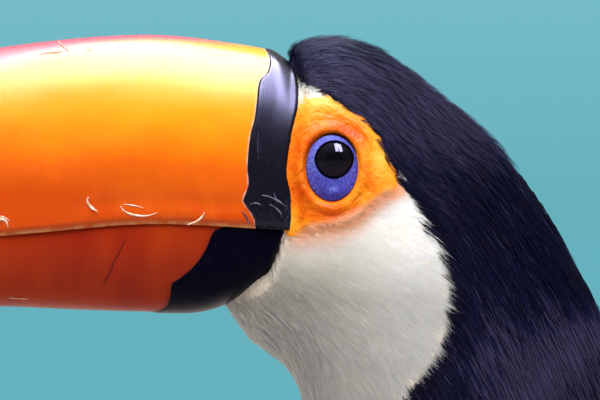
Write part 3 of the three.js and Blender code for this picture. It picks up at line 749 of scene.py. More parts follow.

# The ring's blue comes from light scattered in the skin. Its top is painted lighter, a painted
# highlight where it faces up; it is also lighter on the left and darker low down, with a small pale
# scar below the eye.
ring_skin, tree, shader = new_material("blue_ring_skin")
light_node, rim_node, polar_node = (
    put(tree, "Attribute", attribute_name=name) for name in ("ring_light", "dark_rim", "round_eye"))
spread_rays = put(tree, "Mapping", {"Vector": polar_node.outputs["Vector"], "Scale": (16, 16, 5)})
streaks = put(tree, "TexNoise", {"Vector": spread_rays, "Scale": 2.0, "Detail": 4.0, "Distortion": 0.4})
uneven = put(tree, "Math", {0: streaks, 1: 1.3, 2: -0.65}, operation="MULTIPLY_ADD")
shade = put(tree, "Math", {0: light_node, 1: uneven}, operation="ADD")
hue = put(tree, "ValToRGB", {"Fac": shade}, [(0.0, "2A2478"), (0.3, "4340AE"), (0.55, "5C60D8"),
    (0.8, "7688EE"), (1.0, "95A8F8")])
inked = put(tree, "Mix", {"Factor": rim_node, 6: hue, 7: linear("120E22")}, data_type="RGBA")
feed(shader, {"Base Color": inked, "Roughness": 0.4, "Specular IOR Level": 0.14})
creases = put(tree, "Bump", {"Height": streaks, "Strength": 1.0, "Distance": 0.0005})
feed(shader, {"Normal": creases})
body_skin.data.materials.append(ring_skin)

# Legs and toes are covered with thin horny scutes over living skin, slate blue and dry.
leg_skin, tree, shader = new_material("scaled_leg_skin")
object_place = put(tree, "TexCoord")
mottle = put(tree, "TexNoise", {"Vector": object_place, "Scale": 330.0, "Detail": 5.0})
scute_node = put(tree, "Attribute", attribute_name="scute")
# The colour follows the scutes' height: darker in each lap under the scute above and lighter on raised
# edges and pebbles, as painted shade and light over a mottle of slate blue.
ridged = put(tree, "Math", {0: scute_node, 1: 0.9, 2: mottle}, operation="MULTIPLY_ADD")
hue = put(tree, "ValToRGB", {"Fac": ridged}, [(0.3, "2C3644"), (0.6, "567088"), (0.85, "8AA2B6")])
feed(shader, {"Base Color": hue, "Roughness": 0.5})
grain = put(tree, "Bump", {"Height": mottle, "Strength": 0.35, "Distance": 0.0004})
feed(shader, {"Normal": grain})
body_skin.data.materials.append(leg_skin)

# ---- Eyes ---------------------------------------------------------------------------------
# A bird's eye is a wet ball. Only its clear bulging front shows, with a very dark brown iris and
# a black pupil behind it. It sits behind the blue ring and never touches it.
BALL_ROWS, BALL_COLUMNS = 56, 96
PUPIL = 2.3
unlit_by_skylight = bpy.data.collections.new("unlit_by_skylight")
skylight.light_linking.receiver_collection = unlit_by_skylight
lit_by_window = bpy.data.collections.new("lit_by_window")
for pane in windows:
    pane.light_linking.receiver_collection = lit_by_window
for name, side in (("left", 1), ("right", -1)):
    tilt = np.linspace(0, np.pi, BALL_ROWS)[:, None]
    turn = np.arange(BALL_COLUMNS) * 2 * np.pi / BALL_COLUMNS
    bulge = EYE_RADIUS + 0.25 * np.exp(-(tilt / 0.5) ** 2)
    from_axis = bulge * np.sin(tilt)
    ball = rows(side * (EYE_X + bulge * np.cos(tilt) + 0 * turn),
                EYE_PLACE[0] + from_axis * np.cos(turn), EYE_PLACE[1] + from_axis * np.sin(turn))
    faces = quad_grid(BALL_ROWS, BALL_COLUMNS, True)[:, ::-side]
    eyeball = mesh_object(f"eyeball_{name}", ball, faces.tolist())
    set_values(eyeball, "from_pupil", "FLOAT", (from_axis + 0 * turn).ravel() / 10)
    turned = np.stack(np.broadcast_arrays(np.cos(turn), np.sin(turn), from_axis / 10), -1)
    set_values(eyeball, "round_pupil", "FLOAT_VECTOR", turned.reshape(-1, 3))
    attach(eyeball, "root")
    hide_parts(f"eye_{name}")
    unlit_by_skylight.objects.link(eyeball)
    lit_by_window.objects.link(eyeball)
    if side == 1:
        wet_eye, tree, shader = new_material("wet_eye")
        far_node = put(tree, "Attribute", attribute_name="from_pupil")
        turn_node = put(tree, "Attribute", attribute_name="round_pupil")
        fibres = put(tree, "Mapping", {"Vector": turn_node.outputs["Vector"], "Scale": (14, 14, 6)})
        strands = put(tree, "TexNoise", {"Vector": fibres, "Scale": 1.5, "Detail": 3.0})
        brown = put(tree, "ValToRGB", {"Fac": strands}, [(0.3, "080608"), (0.7, "120E14")])
        edge = put(tree, "MapRange", {"Value": far_node, "From Min": PUPIL / 10 - 0.01,
            "From Max": PUPIL / 10 + 0.01})
        whole = put(tree, "Mix", {"Factor": edge, 6: linear("020203"), 7: brown}, data_type="RGBA")
        feed(shader, {"Base Color": whole, "Roughness": 0.03, "IOR": 1.34,
            "Specular Tint": linear("CFC8FA")})
    eyeball.data.materials.append(wet_eye)
for member in unlit_by_skylight.collection_objects:
    member.light_linking.link_state = "EXCLUDE"

# ---- Upper bill ---------------------------------------------------------------------------
# A hollow shell of thin glossy horn over light foam bone, orange and yellow, with a black band
# of thicker horn round its base that ends in a rounded rim against the face.
BAND_EDGE = [[-1.5, -8.6], [1.5, -8.8], [4.1, -10.4], [5.8, -11.8], [8.6, -10.9], [10.4, -10.4],
             [14.2, -10.7], [19, -10.4], [22.8, -9.9], [26.9, -8.9], [30.7, -8.4], [36.5, -7.6],
             [38.8, -5.8], [41.9, -5.1], [43.8, -5.6], [44.9, -6.35], [46, -6.6]]
BAND_ROWS, HORN_ROWS, ARCH, FLOOR_STEPS = 30, 190, 109, 8


def arch(count, power):
    """Side and rise of the points over an arch, from the left foot over the top to the right."""
    angle = np.linspace(0, np.pi, count)
    rise = signed_power(np.sin(angle), 2 / power)
    side = signed_power(np.cos(angle), 2 / power) * (1 - 0.04 * (1 - rise) ** 2)
    return side, rise


arch_side, arch_rise = arch(ARCH, BILL_POWER)
base_up = arch_rise * 45
rear_along = read_line(REAR_EDGE, base_up) + 1.1
edge_along = read_line(BAND_EDGE, base_up)
band_share = np.linspace(0, 1, BAND_ROWS)[:, None]
horn_share = np.linspace(0, 1, HORN_ROWS + 1)[1:, None] ** 1.35
bill_along = np.vstack([rear_along + (edge_along - rear_along) * band_share,
                        edge_along + (-BILL_LENGTH + 0.02 - edge_along) * horn_share])
ridge_up, mouth_up = read_line(RIDGE, bill_along), read_line(MOUTH, bill_along)
to_edge = bill_along - edge_along  # more than 0 is on the black band
bill_rise = arch_rise + 0 * bill_along
bill_x = bill_half(bill_along) * arch_side
hang = 0.55 * smooth_step(0.05, 0, bill_rise) * smooth_step(-BILL_LENGTH, -150, bill_along)
bill_up = mouth_up + (ridge_up - mouth_up) * bill_rise - hang
out_x = arch_side * np.ones_like(bill_along) / BILL_HALF
out_up = bill_rise ** 1.15 / 44
out_length = np.hypot(out_x, out_up)
out_x, out_up = out_x / out_length, out_up / out_length
to_rear = rear_along - bill_along
spots = np.stack([bill_x.ravel(), bill_along.ravel(), bill_up.ravel()], 1)
waves = lumpy(spots * [1, 0.35, 1], 9).reshape(bill_x.shape)
flow = lumpy(spots, 22, 5.0).reshape(bill_x.shape)
on_band = smooth_step(-0.25, 0.5, to_edge)
lift = (0.16 * waves + 0.3 * flow) * (1 - 0.7 * on_band)
lift = lift + on_band * (0.5 + 0.5 * smooth_step(7, 0.5, to_rear)) * (1 - 0.75 * bill_rise ** 5)
lift = lift - 2.2 * smooth_step(5.5, -0.5, to_rear) * bill_rise ** 5
lift = lift - 2.0 * np.sqrt(1 - np.clip(to_rear / 1.3, 0, 1)).clip(0) ** 2.2
torn = smooth_step(9, 2, bill_up) * smooth_step(-1.5, 1.0, to_edge)
flakes = lumpy(spots, 1.5, 11.0).reshape(bill_x.shape)
lift = lift + torn * (0.4 * flakes + 0.25 * lumpy(spots, 0.6, 2.0).reshape(bill_x.shape))
# The cutting edge of the horn is a thin raised lip, chipped in places.
chip_noise = lumpy(spots * [0, 1, 0], 1.6, 21.0).reshape(bill_x.shape) - 0.6
for place, reach in ((-69, 4.5), (-47, 1.6), (-36.5, 4), (-23, 2.2), (-15, 1), (-92, 3), (-118, 2),
                     (-140, 4)):
    chip_noise = chip_noise + 1.1 * np.exp(-((bill_along - place) / reach) ** 4)
above_mouth = bill_up - mouth_up
lip = np.exp(-((above_mouth - 0.45) / 0.5) ** 2) * (1 - on_band)
lift = lift + lip * (0.35 + 0.5 * np.clip(chip_noise, -0.4, 1))
fold_on = smooth_step(-64, -42, bill_along) * (1 - on_band)
lift = lift + 0.3 * fold_on * np.exp(-((above_mouth - 2.4) / 1.4) ** 2)
lift = lift - 0.3 * fold_on * np.exp(-((above_mouth - 5.2) / 1.3) ** 2)
tip_fade = smooth_step(-BILL_LENGTH, -BILL_LENGTH + 25, bill_along)
lift = lift * (0.2 + 0.8 * tip_fade)
upper = rows((bill_x + out_x * lift), bill_along, bill_up + out_up * lift)
upper = upper.reshape(BAND_ROWS + HORN_ROWS, ARCH, 3)
left_foot, right_foot = upper[:, :1], upper[:, -1:]
across = np.array([0.02, 0.1, 0.3, 0.5, 0.7, 0.9, 0.98])[None, :, None]
palate = right_foot + (left_foot - right_foot) * across
palate[..., 2] += (hang[:, :1] - 0.03) * MM
upper = np.concatenate([upper, palate], 1)


def spread_values(values, extra_columns, fill=0.0):
    """Values of an arch, carried on over the floor columns and the two end points."""
    more = np.full((values.shape[0], extra_columns), fill)
    return np.concatenate([np.hstack([values, more]).ravel(), [values[0].mean(), values[-1, 0]]])


bill_upper = mesh_object("bill_upper_horn", *capped(upper))
extra = FLOOR_STEPS - 1
frayed = 0.35 + 0.4 * lumpy(spots, 0.9, 31.0).reshape(bill_x.shape)
worn_lip = np.clip(0.7 * lip * (frayed + 0.5 * np.clip(chip_noise, 0, 1)), 0, 1)
for name, values in (("band", smooth_step(-0.06, 0.06, to_edge)), ("rise", bill_rise),
                     ("forward", -bill_along / BILL_LENGTH), ("lip", worn_lip), ("torn", torn)):
    set_values(bill_upper, name, "FLOAT", spread_values(values, extra))
set_values(bill_upper, "to_edge", "FLOAT", spread_values(to_edge * 0.1, extra, -9))
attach(bill_upper, "root")
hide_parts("bill_upper")

bill_horn, tree, shader = new_material("glossy_bill_horn")
rise_node, forward_node, band_node, edge_node, lip_node, torn_node = (
    put(tree, "Attribute", attribute_name=name)
    for name in ("rise", "forward", "band", "to_edge", "lip", "torn"))
object_place = put(tree, "TexCoord")
drawn_out = put(tree, "Mapping", {"Vector": object_place, "Scale": (1, 0.45, 1)})
clouds = put(tree, "TexNoise", {"Vector": drawn_out, "Scale": 34.0, "Detail": 5.0, "Roughness": 0.6})
drift = put(tree, "Math", {0: clouds, 1: 0.6, 2: -0.3}, operation="MULTIPLY_ADD")
drawn_down = put(tree, "Mapping", {"Vector": object_place, "Scale": (0.3, 1, 0.3),
    "Rotation": (0.25, 0, 0)})
stains = put(tree, "TexNoise", {"Vector": drawn_down, "Scale": 170.0, "Detail": 5.0, "Distortion": 0.6})
low_down = put(tree, "MapRange", {"Value": rise_node, "From Min": 0.1, "From Max": 0.55, "To Min": 0.3,
    "To Max": 0.0})
stained_and_shaded = put(tree, "Math", {0: stains, 1: -0.55}, operation="ADD")
height = put(tree, "Math", {0: stained_and_shaded, 1: low_down, 2: drift}, operation="MULTIPLY_ADD")
height = put(tree, "Math", {0: rise_node, 1: height}, operation="ADD")
reach = put(tree, "MapRange", {"Value": forward_node, "From Min": 0.14, "From Max": 0.44, "To Min": 0.0,
    "To Max": -0.26})
ripeness_and_painted_light = put(tree, "Math", {0: height, 1: reach}, operation="ADD")
# Up the side the horn goes from red-orange to yellow, its own colour; the palest yellow stops high on
# the side are partly a painted highlight.
hue = put(tree, "ValToRGB", {"Fac": ripeness_and_painted_light}, [(0.0, "D84E04"), (0.12, "E45E08"), (0.24, "F06A08"),
    (0.4, "FC8604"), (0.58, "FFA80E"), (0.76, "FFC23C"), (0.88, "FFD070"), (0.96, "FFB430")])
leaning = put(tree, "MapRange", {"Value": forward_node, "From Max": 0.42, "To Max": 0.168})
far_up = put(tree, "Math", {0: leaning, 1: rise_node}, operation="ADD")
rosy_side = put(tree, "MapRange", {"Value": far_up, "From Min": 1.0, "From Max": 1.09, "To Max": 0.9})
rosy_end = put(tree, "MapRange", {"Value": forward_node, "From Min": 0.42, "From Max": 0.62,
    "To Min": 1.0, "To Max": 0.15})
rosy = put(tree, "Math", {0: rosy_side, 1: rosy_end}, operation="MULTIPLY")
blushed = put(tree, "Mix", {"Factor": rosy, 6: hue, 7: linear("E87A96")}, data_type="RGBA")
ridge_top = put(tree, "MapRange", {"Value": rise_node, "From Min": 0.97, "From Max": 0.992})
ridge_on = put(tree, "MapRange", {"Value": forward_node, "From Min": 0.06, "From Max": 0.14})
ridge_line = put(tree, "Math", {0: ridge_top, 1: ridge_on}, operation="MULTIPLY")
hue = put(tree, "Mix", {"Factor": ridge_line, 6: blushed, 7: linear("E2647A")}, data_type="RGBA")
lip_line = put(tree, "MapRange", {"Value": rise_node, "From Min": 0.006, "From Max": 0.019,
    "To Min": 0.8, "To Max": 0.0})
lip_wear = put(tree, "TexNoise", {"Vector": object_place, "Scale": 330.0, "Detail": 3.0})
lip_worn = put(tree, "MapRange", {"Value": lip_wear, "From Min": 0.36, "From Max": 0.6, "To Min": 0.25,
    "To Max": 1.0})
lip_pale = put(tree, "Math", {0: lip_line, 1: lip_worn}, operation="MULTIPLY")
lip_both = put(tree, "Math", {0: lip_pale, 1: lip_node}, operation="MAXIMUM")
pale_lip = put(tree, "Mix", {"Factor": lip_both, 6: hue, 7: linear("F6AE74")}, data_type="RGBA")
oval_reach = put(tree, "MapRange", {"Value": forward_node, "From Min": 0.735, "From Max": 0.745})
oval_rise = put(tree, "MapRange", {"Value": rise_node, "From Min": 0.16, "From Max": 0.2})
tip_spot = put(tree, "Math", {0: oval_reach, 1: oval_rise}, operation="MULTIPLY")
black_part = put(tree, "Math", {0: tip_spot, 1: band_node}, operation="MAXIMUM")
inked = put(tree, "Mix", {"Factor": black_part, 6: pale_lip, 7: linear("15121A")}, data_type="RGBA")
rim_line = put(tree, "MapRange", {"Value": edge_node, "From Min": -0.055, "From Max": 0.0})
rim_end = put(tree, "MapRange", {"Value": edge_node, "From Min": 0.0, "From Max": 0.03, "To Min": 1.0,
    "To Max": 0.0})
worn = put(tree, "TexNoise", {"Vector": object_place, "Scale": 500.0, "Detail": 3.0})
worn_on = put(tree, "MapRange", {"Value": worn, "From Min": 0.4, "From Max": 0.6, "To Min": 0.15,
    "To Max": 0.85})
line_a = put(tree, "Math", {0: rim_line, 1: rim_end}, operation="MULTIPLY")
line_b = put(tree, "Math", {0: line_a, 1: worn_on}, operation="MULTIPLY")
edged = put(tree, "Mix", {"Factor": line_b, 6: inked, 7: linear("E4C9C0")}, data_type="RGBA")
feed(shader, {"Base Color": edged})
scuffs = put(tree, "Mapping", {"Vector": object_place, "Scale": (1, 6, 1)})
scratch = put(tree, "TexNoise", {"Vector": scuffs, "Scale": 160.0, "Detail": 6.0})
dull = put(tree, "MapRange", {"Value": scratch, "From Min": 0.3, "From Max": 0.7, "To Min": -0.03,
    "To Max": 0.03})
patchy = put(tree, "MapRange", {"Value": clouds, "From Min": 0.35, "From Max": 0.65, "To Min": 0.21,
    "To Max": 0.3})
dulled = put(tree, "Math", {0: dull, 1: patchy}, operation="ADD")
feed(shader, {"Roughness": dulled})
growth = put(tree, "Bump", {"Height": scratch, "Strength": 0.05, "Distance": 0.0006})
feed(shader, {"Normal": growth, "Specular IOR Level": 0.2})
bill_upper.data.materials.append(bill_horn)

# The black band is thicker horn full of melanin, polished, with a few pale scratches.
black_horn, tree, shader = new_material("black_bill_horn")
object_place = put(tree, "TexCoord")
torn_node = put(tree, "Attribute", attribute_name="torn")
marks = put(tree, "Mapping", {"Vector": object_place, "Scale": (1, 2.4, 0.7)})
lines = put(tree, "TexNoise", {"Vector": marks, "Scale": 420.0, "Detail": 6.0, "Distortion": 1.2})
scored = put(tree, "MapRange", {"Value": lines, "From Min": 0.64, "From Max": 0.74})
flaked = put(tree, "MapRange", {"Value": torn_node, "To Min": 0.04, "To Max": 0.5})
chalked = put(tree, "Math", {0: scored, 1: flaked}, operation="MULTIPLY")
hue = put(tree, "Mix", {"Factor": chalked, 6: linear("05040E"), 7: linear("7C7A94")}, data_type="RGBA")
feed(shader, {"Base Color": hue})
rub = put(tree, "MapRange", {"Value": lines, "From Min": 0.3, "From Max": 0.7, "To Min": 0.23,
    "To Max": 0.27})
feed(shader, {"Roughness": rub, "Specular IOR Level": 0.5, "Specular Tint": linear("D2D0FF")})
dents = put(tree, "Bump", {"Height": lines, "Strength": 0.03, "Distance": 0.0006})
feed(shader, {"Normal": dents})
bill_upper.data.materials.append(black_horn)
wide = ARCH + FLOOR_STEPS - 1
bill_upper.data.polygons.foreach_set("material_index", [
    int(k < (BAND_ROWS - 1) * wide) for k in range(len(bill_upper.data.polygons))])

# ---- Lower bill ---------------------------------------------------------------------------
# The lower half closes up against the upper one. It is the same thin horn, redder, and painted darker
# as painted shade under the upper half, with a black patch at its root whose edge runs down and
# forward.
PATCH_EDGE = [[0, -15.5], [0.06, -18.8], [0.13, -19.8], [0.25, -20.8], [0.39, -22.6], [0.53, -25.4],
    [0.62, -27.9], [0.7, -29.9], [0.78, -30.1], [0.9, -30.9], [0.96, -32.5], [1, -35]]
PATCH_ROWS, JAW_ROWS, JAW_ARCH = 60, 120, 85
LOWER_LENGTH = 185.0
jaw_side, jaw_drop = arch(JAW_ARCH, 2.3)
patch_along = read_line(PATCH_EDGE, jaw_drop)
patch_share = np.linspace(0, 1, PATCH_ROWS)[:, None] ** 1.5
jaw_share = np.linspace(0, 1, JAW_ROWS + 1)[1:, None]
jaw_along = np.vstack([0.3 + (patch_along - 0.3) * patch_share,
                       patch_along + (-LOWER_LENGTH - patch_along) * jaw_share])
jaw_top = read_line(MOUTH, jaw_along) - 0.3
jaw_bottom = np.minimum(read_line(KEEL, np.minimum(jaw_along, 0)), jaw_top - 0.6)
jaw_x = bill_half(np.minimum(jaw_along, 0)) * 0.955 * jaw_side
jaw_up = jaw_top + (jaw_bottom - jaw_top) * jaw_drop
spots = np.stack([jaw_x.ravel(), jaw_along.ravel(), jaw_up.ravel()], 1)
to_patch = jaw_along - patch_along
jaw_lift = (0.16 * lumpy(spots * [1, 0.35, 1], 9, 3.0) + 0.25 * lumpy(spots, 20, 8.0)
            ).reshape(jaw_x.shape) + 0.3 * smooth_step(-0.2, 0.5, to_patch)
crack = crease(jaw_along, jaw_up, (-41.2, -2), (-47.6, -15), 0.6, 0.3, 0)
jaw_lift = (jaw_lift + crack) * smooth_step(-LOWER_LENGTH, -LOWER_LENGTH + 20, jaw_along)
jaw_points = rows(jaw_x + jaw_side * jaw_lift, jaw_along, jaw_up - jaw_drop * jaw_lift)
jaw_points = jaw_points.reshape(PATCH_ROWS + JAW_ROWS, JAW_ARCH, 3)
lid = jaw_points[:, -1:] + (jaw_points[:, :1] - jaw_points[:, -1:]) * across
bill_lower = mesh_object("bill_lower_horn", *capped(np.concatenate([jaw_points, lid], 1), True))
set_values(bill_lower, "band", "FLOAT", spread_values(smooth_step(-0.06, 0.06, to_patch), extra))
set_values(bill_lower, "to_edge", "FLOAT", spread_values(to_patch * 0.1, extra, -9))
set_values(bill_lower, "forward", "FLOAT", spread_values(-jaw_along / BILL_LENGTH, extra))
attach(bill_lower, "root")
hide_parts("bill_lower")

jaw_horn, tree, shader = new_material("glossy_jaw_horn")
forward_node, band_node, edge_node = (
    put(tree, "Attribute", attribute_name=name) for name in ("forward", "band", "to_edge"))
object_place = put(tree, "TexCoord")
streaky = put(tree, "Mapping", {"Vector": object_place, "Scale": (0.3, 1, 0.22),
    "Rotation": (0.5, 0, 0)})
streaks = put(tree, "TexNoise", {"Vector": streaky, "Scale": 150.0, "Detail": 4.0})
clouds = put(tree, "TexNoise", {"Vector": object_place, "Scale": 40.0, "Detail": 3.0})
both = put(tree, "Math", {0: streaks, 1: 0.5, 2: -0.25}, operation="MULTIPLY_ADD")
more = put(tree, "Math", {0: clouds, 1: 0.6, 2: -0.3}, operation="MULTIPLY_ADD")
uneven = put(tree, "Math", {0: both, 1: more}, operation="ADD")
ahead = put(tree, "MapRange", {"Value": forward_node, "From Min": 0.08, "From Max": 0.45,
    "To Min": 0.58, "To Max": 0.66})
ripeness_and_painted_light = put(tree, "Math", {0: uneven, 1: ahead}, operation="ADD")
# Dark orange to deep red: the horn's own redness, darkened further as painted shade under the upper
# half.
hue = put(tree, "ValToRGB", {"Fac": ripeness_and_painted_light}, [(0.0, "DA5A02"), (0.3, "C44602"), (0.55, "AE3202"),
    (0.8, "9C2004"), (1.0, "821008")])
# The crack in it is stained dark: a line about half a millimetre wide, drawn square to the side.
crack_place = put(tree, "Mapping", {"Vector": object_place, "Location": (0, mouth_y - 44.2 * MM,
    mouth_z - 8.5 * MM), "Rotation": (math.atan2(-6.4, 13), 0, 0)}, vector_type="TEXTURE")
waver = put(tree, "TexNoise", {"Vector": object_place, "Scale": 120.0, "Detail": 2.0})
wavered = put(tree, "Math", {0: waver, 1: 0.0022, 2: -0.0011}, operation="MULTIPLY_ADD")
crack_axes = put(tree, "SeparateXYZ", {0: crack_place})
across_crack = put(tree, "Math", {0: crack_axes.outputs["Y"], 1: wavered}, operation="ADD")
from_crack = put(tree, "Math", {0: across_crack}, operation="ABSOLUTE")
crack_line = put(tree, "MapRange", {"Value": from_crack, "From Min": 0.00012, "From Max": 0.00042,
    "To Min": 0.85, "To Max": 0.0})
down_crack = put(tree, "Math", {0: crack_axes.outputs["Z"]}, operation="ABSOLUTE")
crack_ends = put(tree, "MapRange", {"Value": down_crack, "From Min": 0.005, "From Max": 0.0075,
    "To Min": 1.0, "To Max": 0.0})
crack_on = put(tree, "Math", {0: crack_line, 1: crack_ends}, operation="MULTIPLY")
split = put(tree, "Mix", {"Factor": crack_on, 6: hue, 7: linear("6A1006")}, data_type="RGBA")
inked = put(tree, "Mix", {"Factor": band_node, 6: split, 7: linear("120F14")}, data_type="RGBA")
feed(shader, {"Base Color": inked, "Roughness": 0.3, "Specular IOR Level": 0.16})
growth = put(tree, "Bump", {"Height": streaks, "Strength": 0.12, "Distance": 0.0006})
feed(shader, {"Normal": growth})
bill_lower.data.materials.append(jaw_horn)
# The patch under the gape is the same black horn, but worn dull.
patch_horn = black_horn.copy()
patch_horn.name = "black_jaw_horn"
feed(patch_horn.node_tree.nodes["Principled BSDF"],
    {"Specular IOR Level": 0.11, "Specular Tint": linear("8C90FF")})
bill_lower.data.materials.append(patch_horn)
wide = JAW_ARCH + FLOOR_STEPS - 1
bill_lower.data.polygons.foreach_set("material_index", [
    int(k < (PATCH_ROWS - 1) * wide) for k in range(len(bill_lower.data.polygons))])

# ---- Flakes of the bill -------------------------------------------------------------------
# Worn horn lifts off the bill in thin curls: pale ones along the cutting edges and the ridge,
# dusky ones on the black band. Each is a sliver held at one end.
horn_trees = [BVHTree.FromPolygons([v.co.copy() for v in piece.data.vertices],
                                   [tuple(p.vertices) for p in piece.data.polygons])
              for piece in (bill_upper, bill_lower)]
PALE_FLAKES = [  # a path as along and up, widest part, rise of the free end, half of the bill
    ([(-50.6, 7.8), (-50.9, 6.5), (-49.7, 4.9), (-48.2, 4.2)], 0.6, 0.9, 0),
    ([(-42.6, 5.6), (-40.8, 3.8), (-37.2, 3.1), (-33.2, 4)], 0.45, 0.5, 0),
    ([(-42.1, 6), (-39.5, 5.7), (-36.8, 5)], 0.25, 0.3, 0),
    ([(-21.5, 4), (-23.1, 2), (-26.4, 0.8)], 0.5, 0.6, 0),
    ([(-71, 0.2), (-72.4, 2.2), (-75.3, 1.6), (-78.9, 0.9)], 0.9, 0.7, 0),
    ([(-70.6, 1.8), (-73, 3), (-76.2, 2.6)], 0.35, 0.5, 0),
    ([(-60.8, 49), (-58.7, 47.2), (-56.9, 45.4), (-55.4, 44.4)], 0.3, 0.3, 0),
    ([(-64.1, 48.6), (-60.5, 49.2), (-57.8, 49.2)], 0.3, 0.3, 0),
    ([(-52, 48.8), (-51.2, 49.6), (-50.4, 50.1)], 0.3, 0.5, 0),
    ([(-96, 3), (-99, 1.2), (-103, 1.6)], 0.6, 0.5, 0),
    ([(-122, 4), (-124, 1.5), (-129, 0.2)], 0.5, 0.5, 0),
    ([(-74.4, -2.9), (-75.7, -3.8), (-76.6, -6.2)], 0.8, 0.3, 1),
    ([(-71.2, -20.6), (-69, -21.2), (-66.3, -20.4)], 0.35, 0.3, 1)]
DUSKY_FLAKES = [
    ([(-7.2, 8.25), (-4, 7.4), (-0.9, 5.4)], 0.4, 0.5, 0),
    ([(-5.4, 6), (-3.1, 4.7), (-1.6, 2.3)], 0.35, 0.4, 0),
    ([(-10, 6), (-8.6, 6.3), (-7.2, 5.8)], 0.3, 0.3, 0),
    ([(-4, 8.9), (-3.6, 7.6), (-3, 6.2)], 0.3, 0.4, 0),
    ([(-12.1, 4.2), (-11, 2.8), (-10.3, 1)], 0.4, 0.3, 0),
    ([(-7.9, 24), (-8.1, 20), (-7.8, 17)], 0.14, 0.0, 0)]


def flake(path, widest, curl, which):
    """One sliver of horn as a flat closed tube that follows the bill and lifts at its end."""
    share = np.linspace(0, 1, 16)
    knots = np.linspace(0, 1, len(path))
    a, z = (np.polyval(np.polyfit(knots, [p[i] for p in path], len(path) - 1), share)
            for i in (0, 1))
    found = [horn_trees[which].ray_cast(at(60, *spot), Vector((-1, 0, 0))) for spot in zip(a, z)]
    found = [hit if hit[0] else horn_trees[which].find_nearest(at(12, *spot))
             for hit, spot in zip(found, zip(a, z))]
    place, out = (np.array([hit[k][:] for hit in found]) for k in (0, 1))
    run = np.gradient(place, axis=0)
    beside = np.cross(out, run / np.linalg.norm(run, axis=1)[:, None])
    torn_edge = 1 + 0.2 * np.sin(9 * share + 5 * widest + a[0])
    half = (0.6 * widest * torn_edge * np.sin(np.pi * (0.06 + 0.9 * share)) ** 0.7)[:, None] * MM
    rise = (0.1 + curl * share ** 2.5)[:, None] * MM * out
    thin = 0.07 * MM * out
    ring = [place + rise - half * beside, place + rise + thin, place + rise + half * beside,
            place + rise - thin]
    return np.stack(ring, 1)


for name, paths, hues in (("pale", PALE_FLAKES, ("F2B48A", "FCE6D8")),
                          ("dusky", DUSKY_FLAKES, ("1C1B2A", "6E6C8C"))):
    for side in (1, -1):
        flake_points, flake_faces = [], []
        count = 0
        for path in paths:
            grid = flake(*path) * [side, 1, 1]
            more, quads = capped(grid, side > 0)
            flake_points.append(more)
            flake_faces += [[i + count for i in face] for face in quads]
            count += len(more)
        slivers = mesh_object(f"{name}_flakes_{'left' if side > 0 else 'right'}",
                              np.vstack(flake_points), flake_faces)
        if side > 0:
            sliver_horn, tree, shader = new_material(f"{name}_peeling_horn")
            object_place = put(tree, "TexCoord")
            fibre = put(tree, "TexNoise", {"Vector": object_place, "Scale": 900.0, "Detail": 3.0})
            hue = put(tree, "ValToRGB", {"Fac": fibre}, [(0.35, hues[0]), (0.6, hues[1])])
            feed(shader, {"Base Color": hue, "Roughness": 0.3, "Specular IOR Level": 0.2})
        slivers.data.materials.append(sliver_horn)
        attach(slivers, "root")

# ---- Coat of the head and neck ------------------------------------------------------------
# Short soft feathers grow out of the skin and lie back over each other from the bill to the
# breast. Their barbs hardly cling, so each feather reads as a small lock of fine hairs.
skin_rows = np.vstack(skin_points)
skin_x, skin_along, skin_up = (skin_rows[:, 0] / MM, (skin_rows[:, 1] - mouth_y) / MM,
                               (skin_rows[:, 2] - mouth_z) / MM)
loft_count, face_stop = SLICES * SPOKES, len(loft_points) + 2 * len(face_x)
ahead = np.gradient(loft_points[:loft_count].reshape(SLICES, SPOKES, 3), axis=0)
ahead = np.vstack([ahead.reshape(-1, 3), np.zeros((2, 3))])
loft_kind = np.stack([np.cos(angle_grid), np.sin(angle_grid), station_grid / LAST_SLICE], 1)
loft_kind = np.vstack([loft_kind, [0, 1, 0], [0, 1, 1]])
nearest = KDTree(loft_count)
for k, place in enumerate(loft_points[:loft_count].tolist()):
    nearest.insert(place, k)
nearest.balance()
face_home = [nearest.find(place)[1] for place in skin_rows[len(loft_points):face_stop].tolist()]
home = np.concatenate([np.arange(len(loft_points)), face_home])
unwrap = np.vstack([loft_kind[home]] + [part[2] for part in limb_parts])
station = np.where(np.arange(len(unwrap)) < face_stop, unwrap[:, 2] * LAST_SLICE, 99)
round_body = np.degrees(np.arctan2(np.abs(unwrap[:, 1]), unwrap[:, 0]))
flow = [ahead[home]]
part_no = [np.zeros(face_stop, int)]
for points, _, _, wide, limb in limb_parts:
    run = np.gradient(points[:-2].reshape(-1, wide, 3), axis=0).reshape(-1, 3)
    if limb == WING_PART:
        run = run / np.linalg.norm(run, axis=1)[:, None].clip(1e-9) + np.array([0, 0, -0.25])
    flow.append(np.vstack([run, run[-2:]]))
    part_no.append(np.full(len(points), limb))
flow, part_no = np.vstack(flow), np.concatenate(part_no)
flow /= np.linalg.norm(flow, axis=1)[:, None].clip(1e-9)
white_in = inside_by(WHITE_EDGE, skin_along, skin_up)
fall = np.radians(np.interp(skin_up, [-90, -60, -30, -5, 10], [84, 66, 40, 24, 20]))
throat = np.stack([0 * fall, np.cos(fall), -np.sin(fall)], 1)
share = smooth_step(-3, 5, white_in)[:, None] * (station < 9)[:, None]
flow = flow * (1 - share) + throat * share
flow /= np.linalg.norm(flow, axis=1)[:, None].clip(1e-9)
set_values(body_skin, "lie", "FLOAT_VECTOR", flow)
set_values(body_skin, "unwrap", "FLOAT_VECTOR", unwrap)

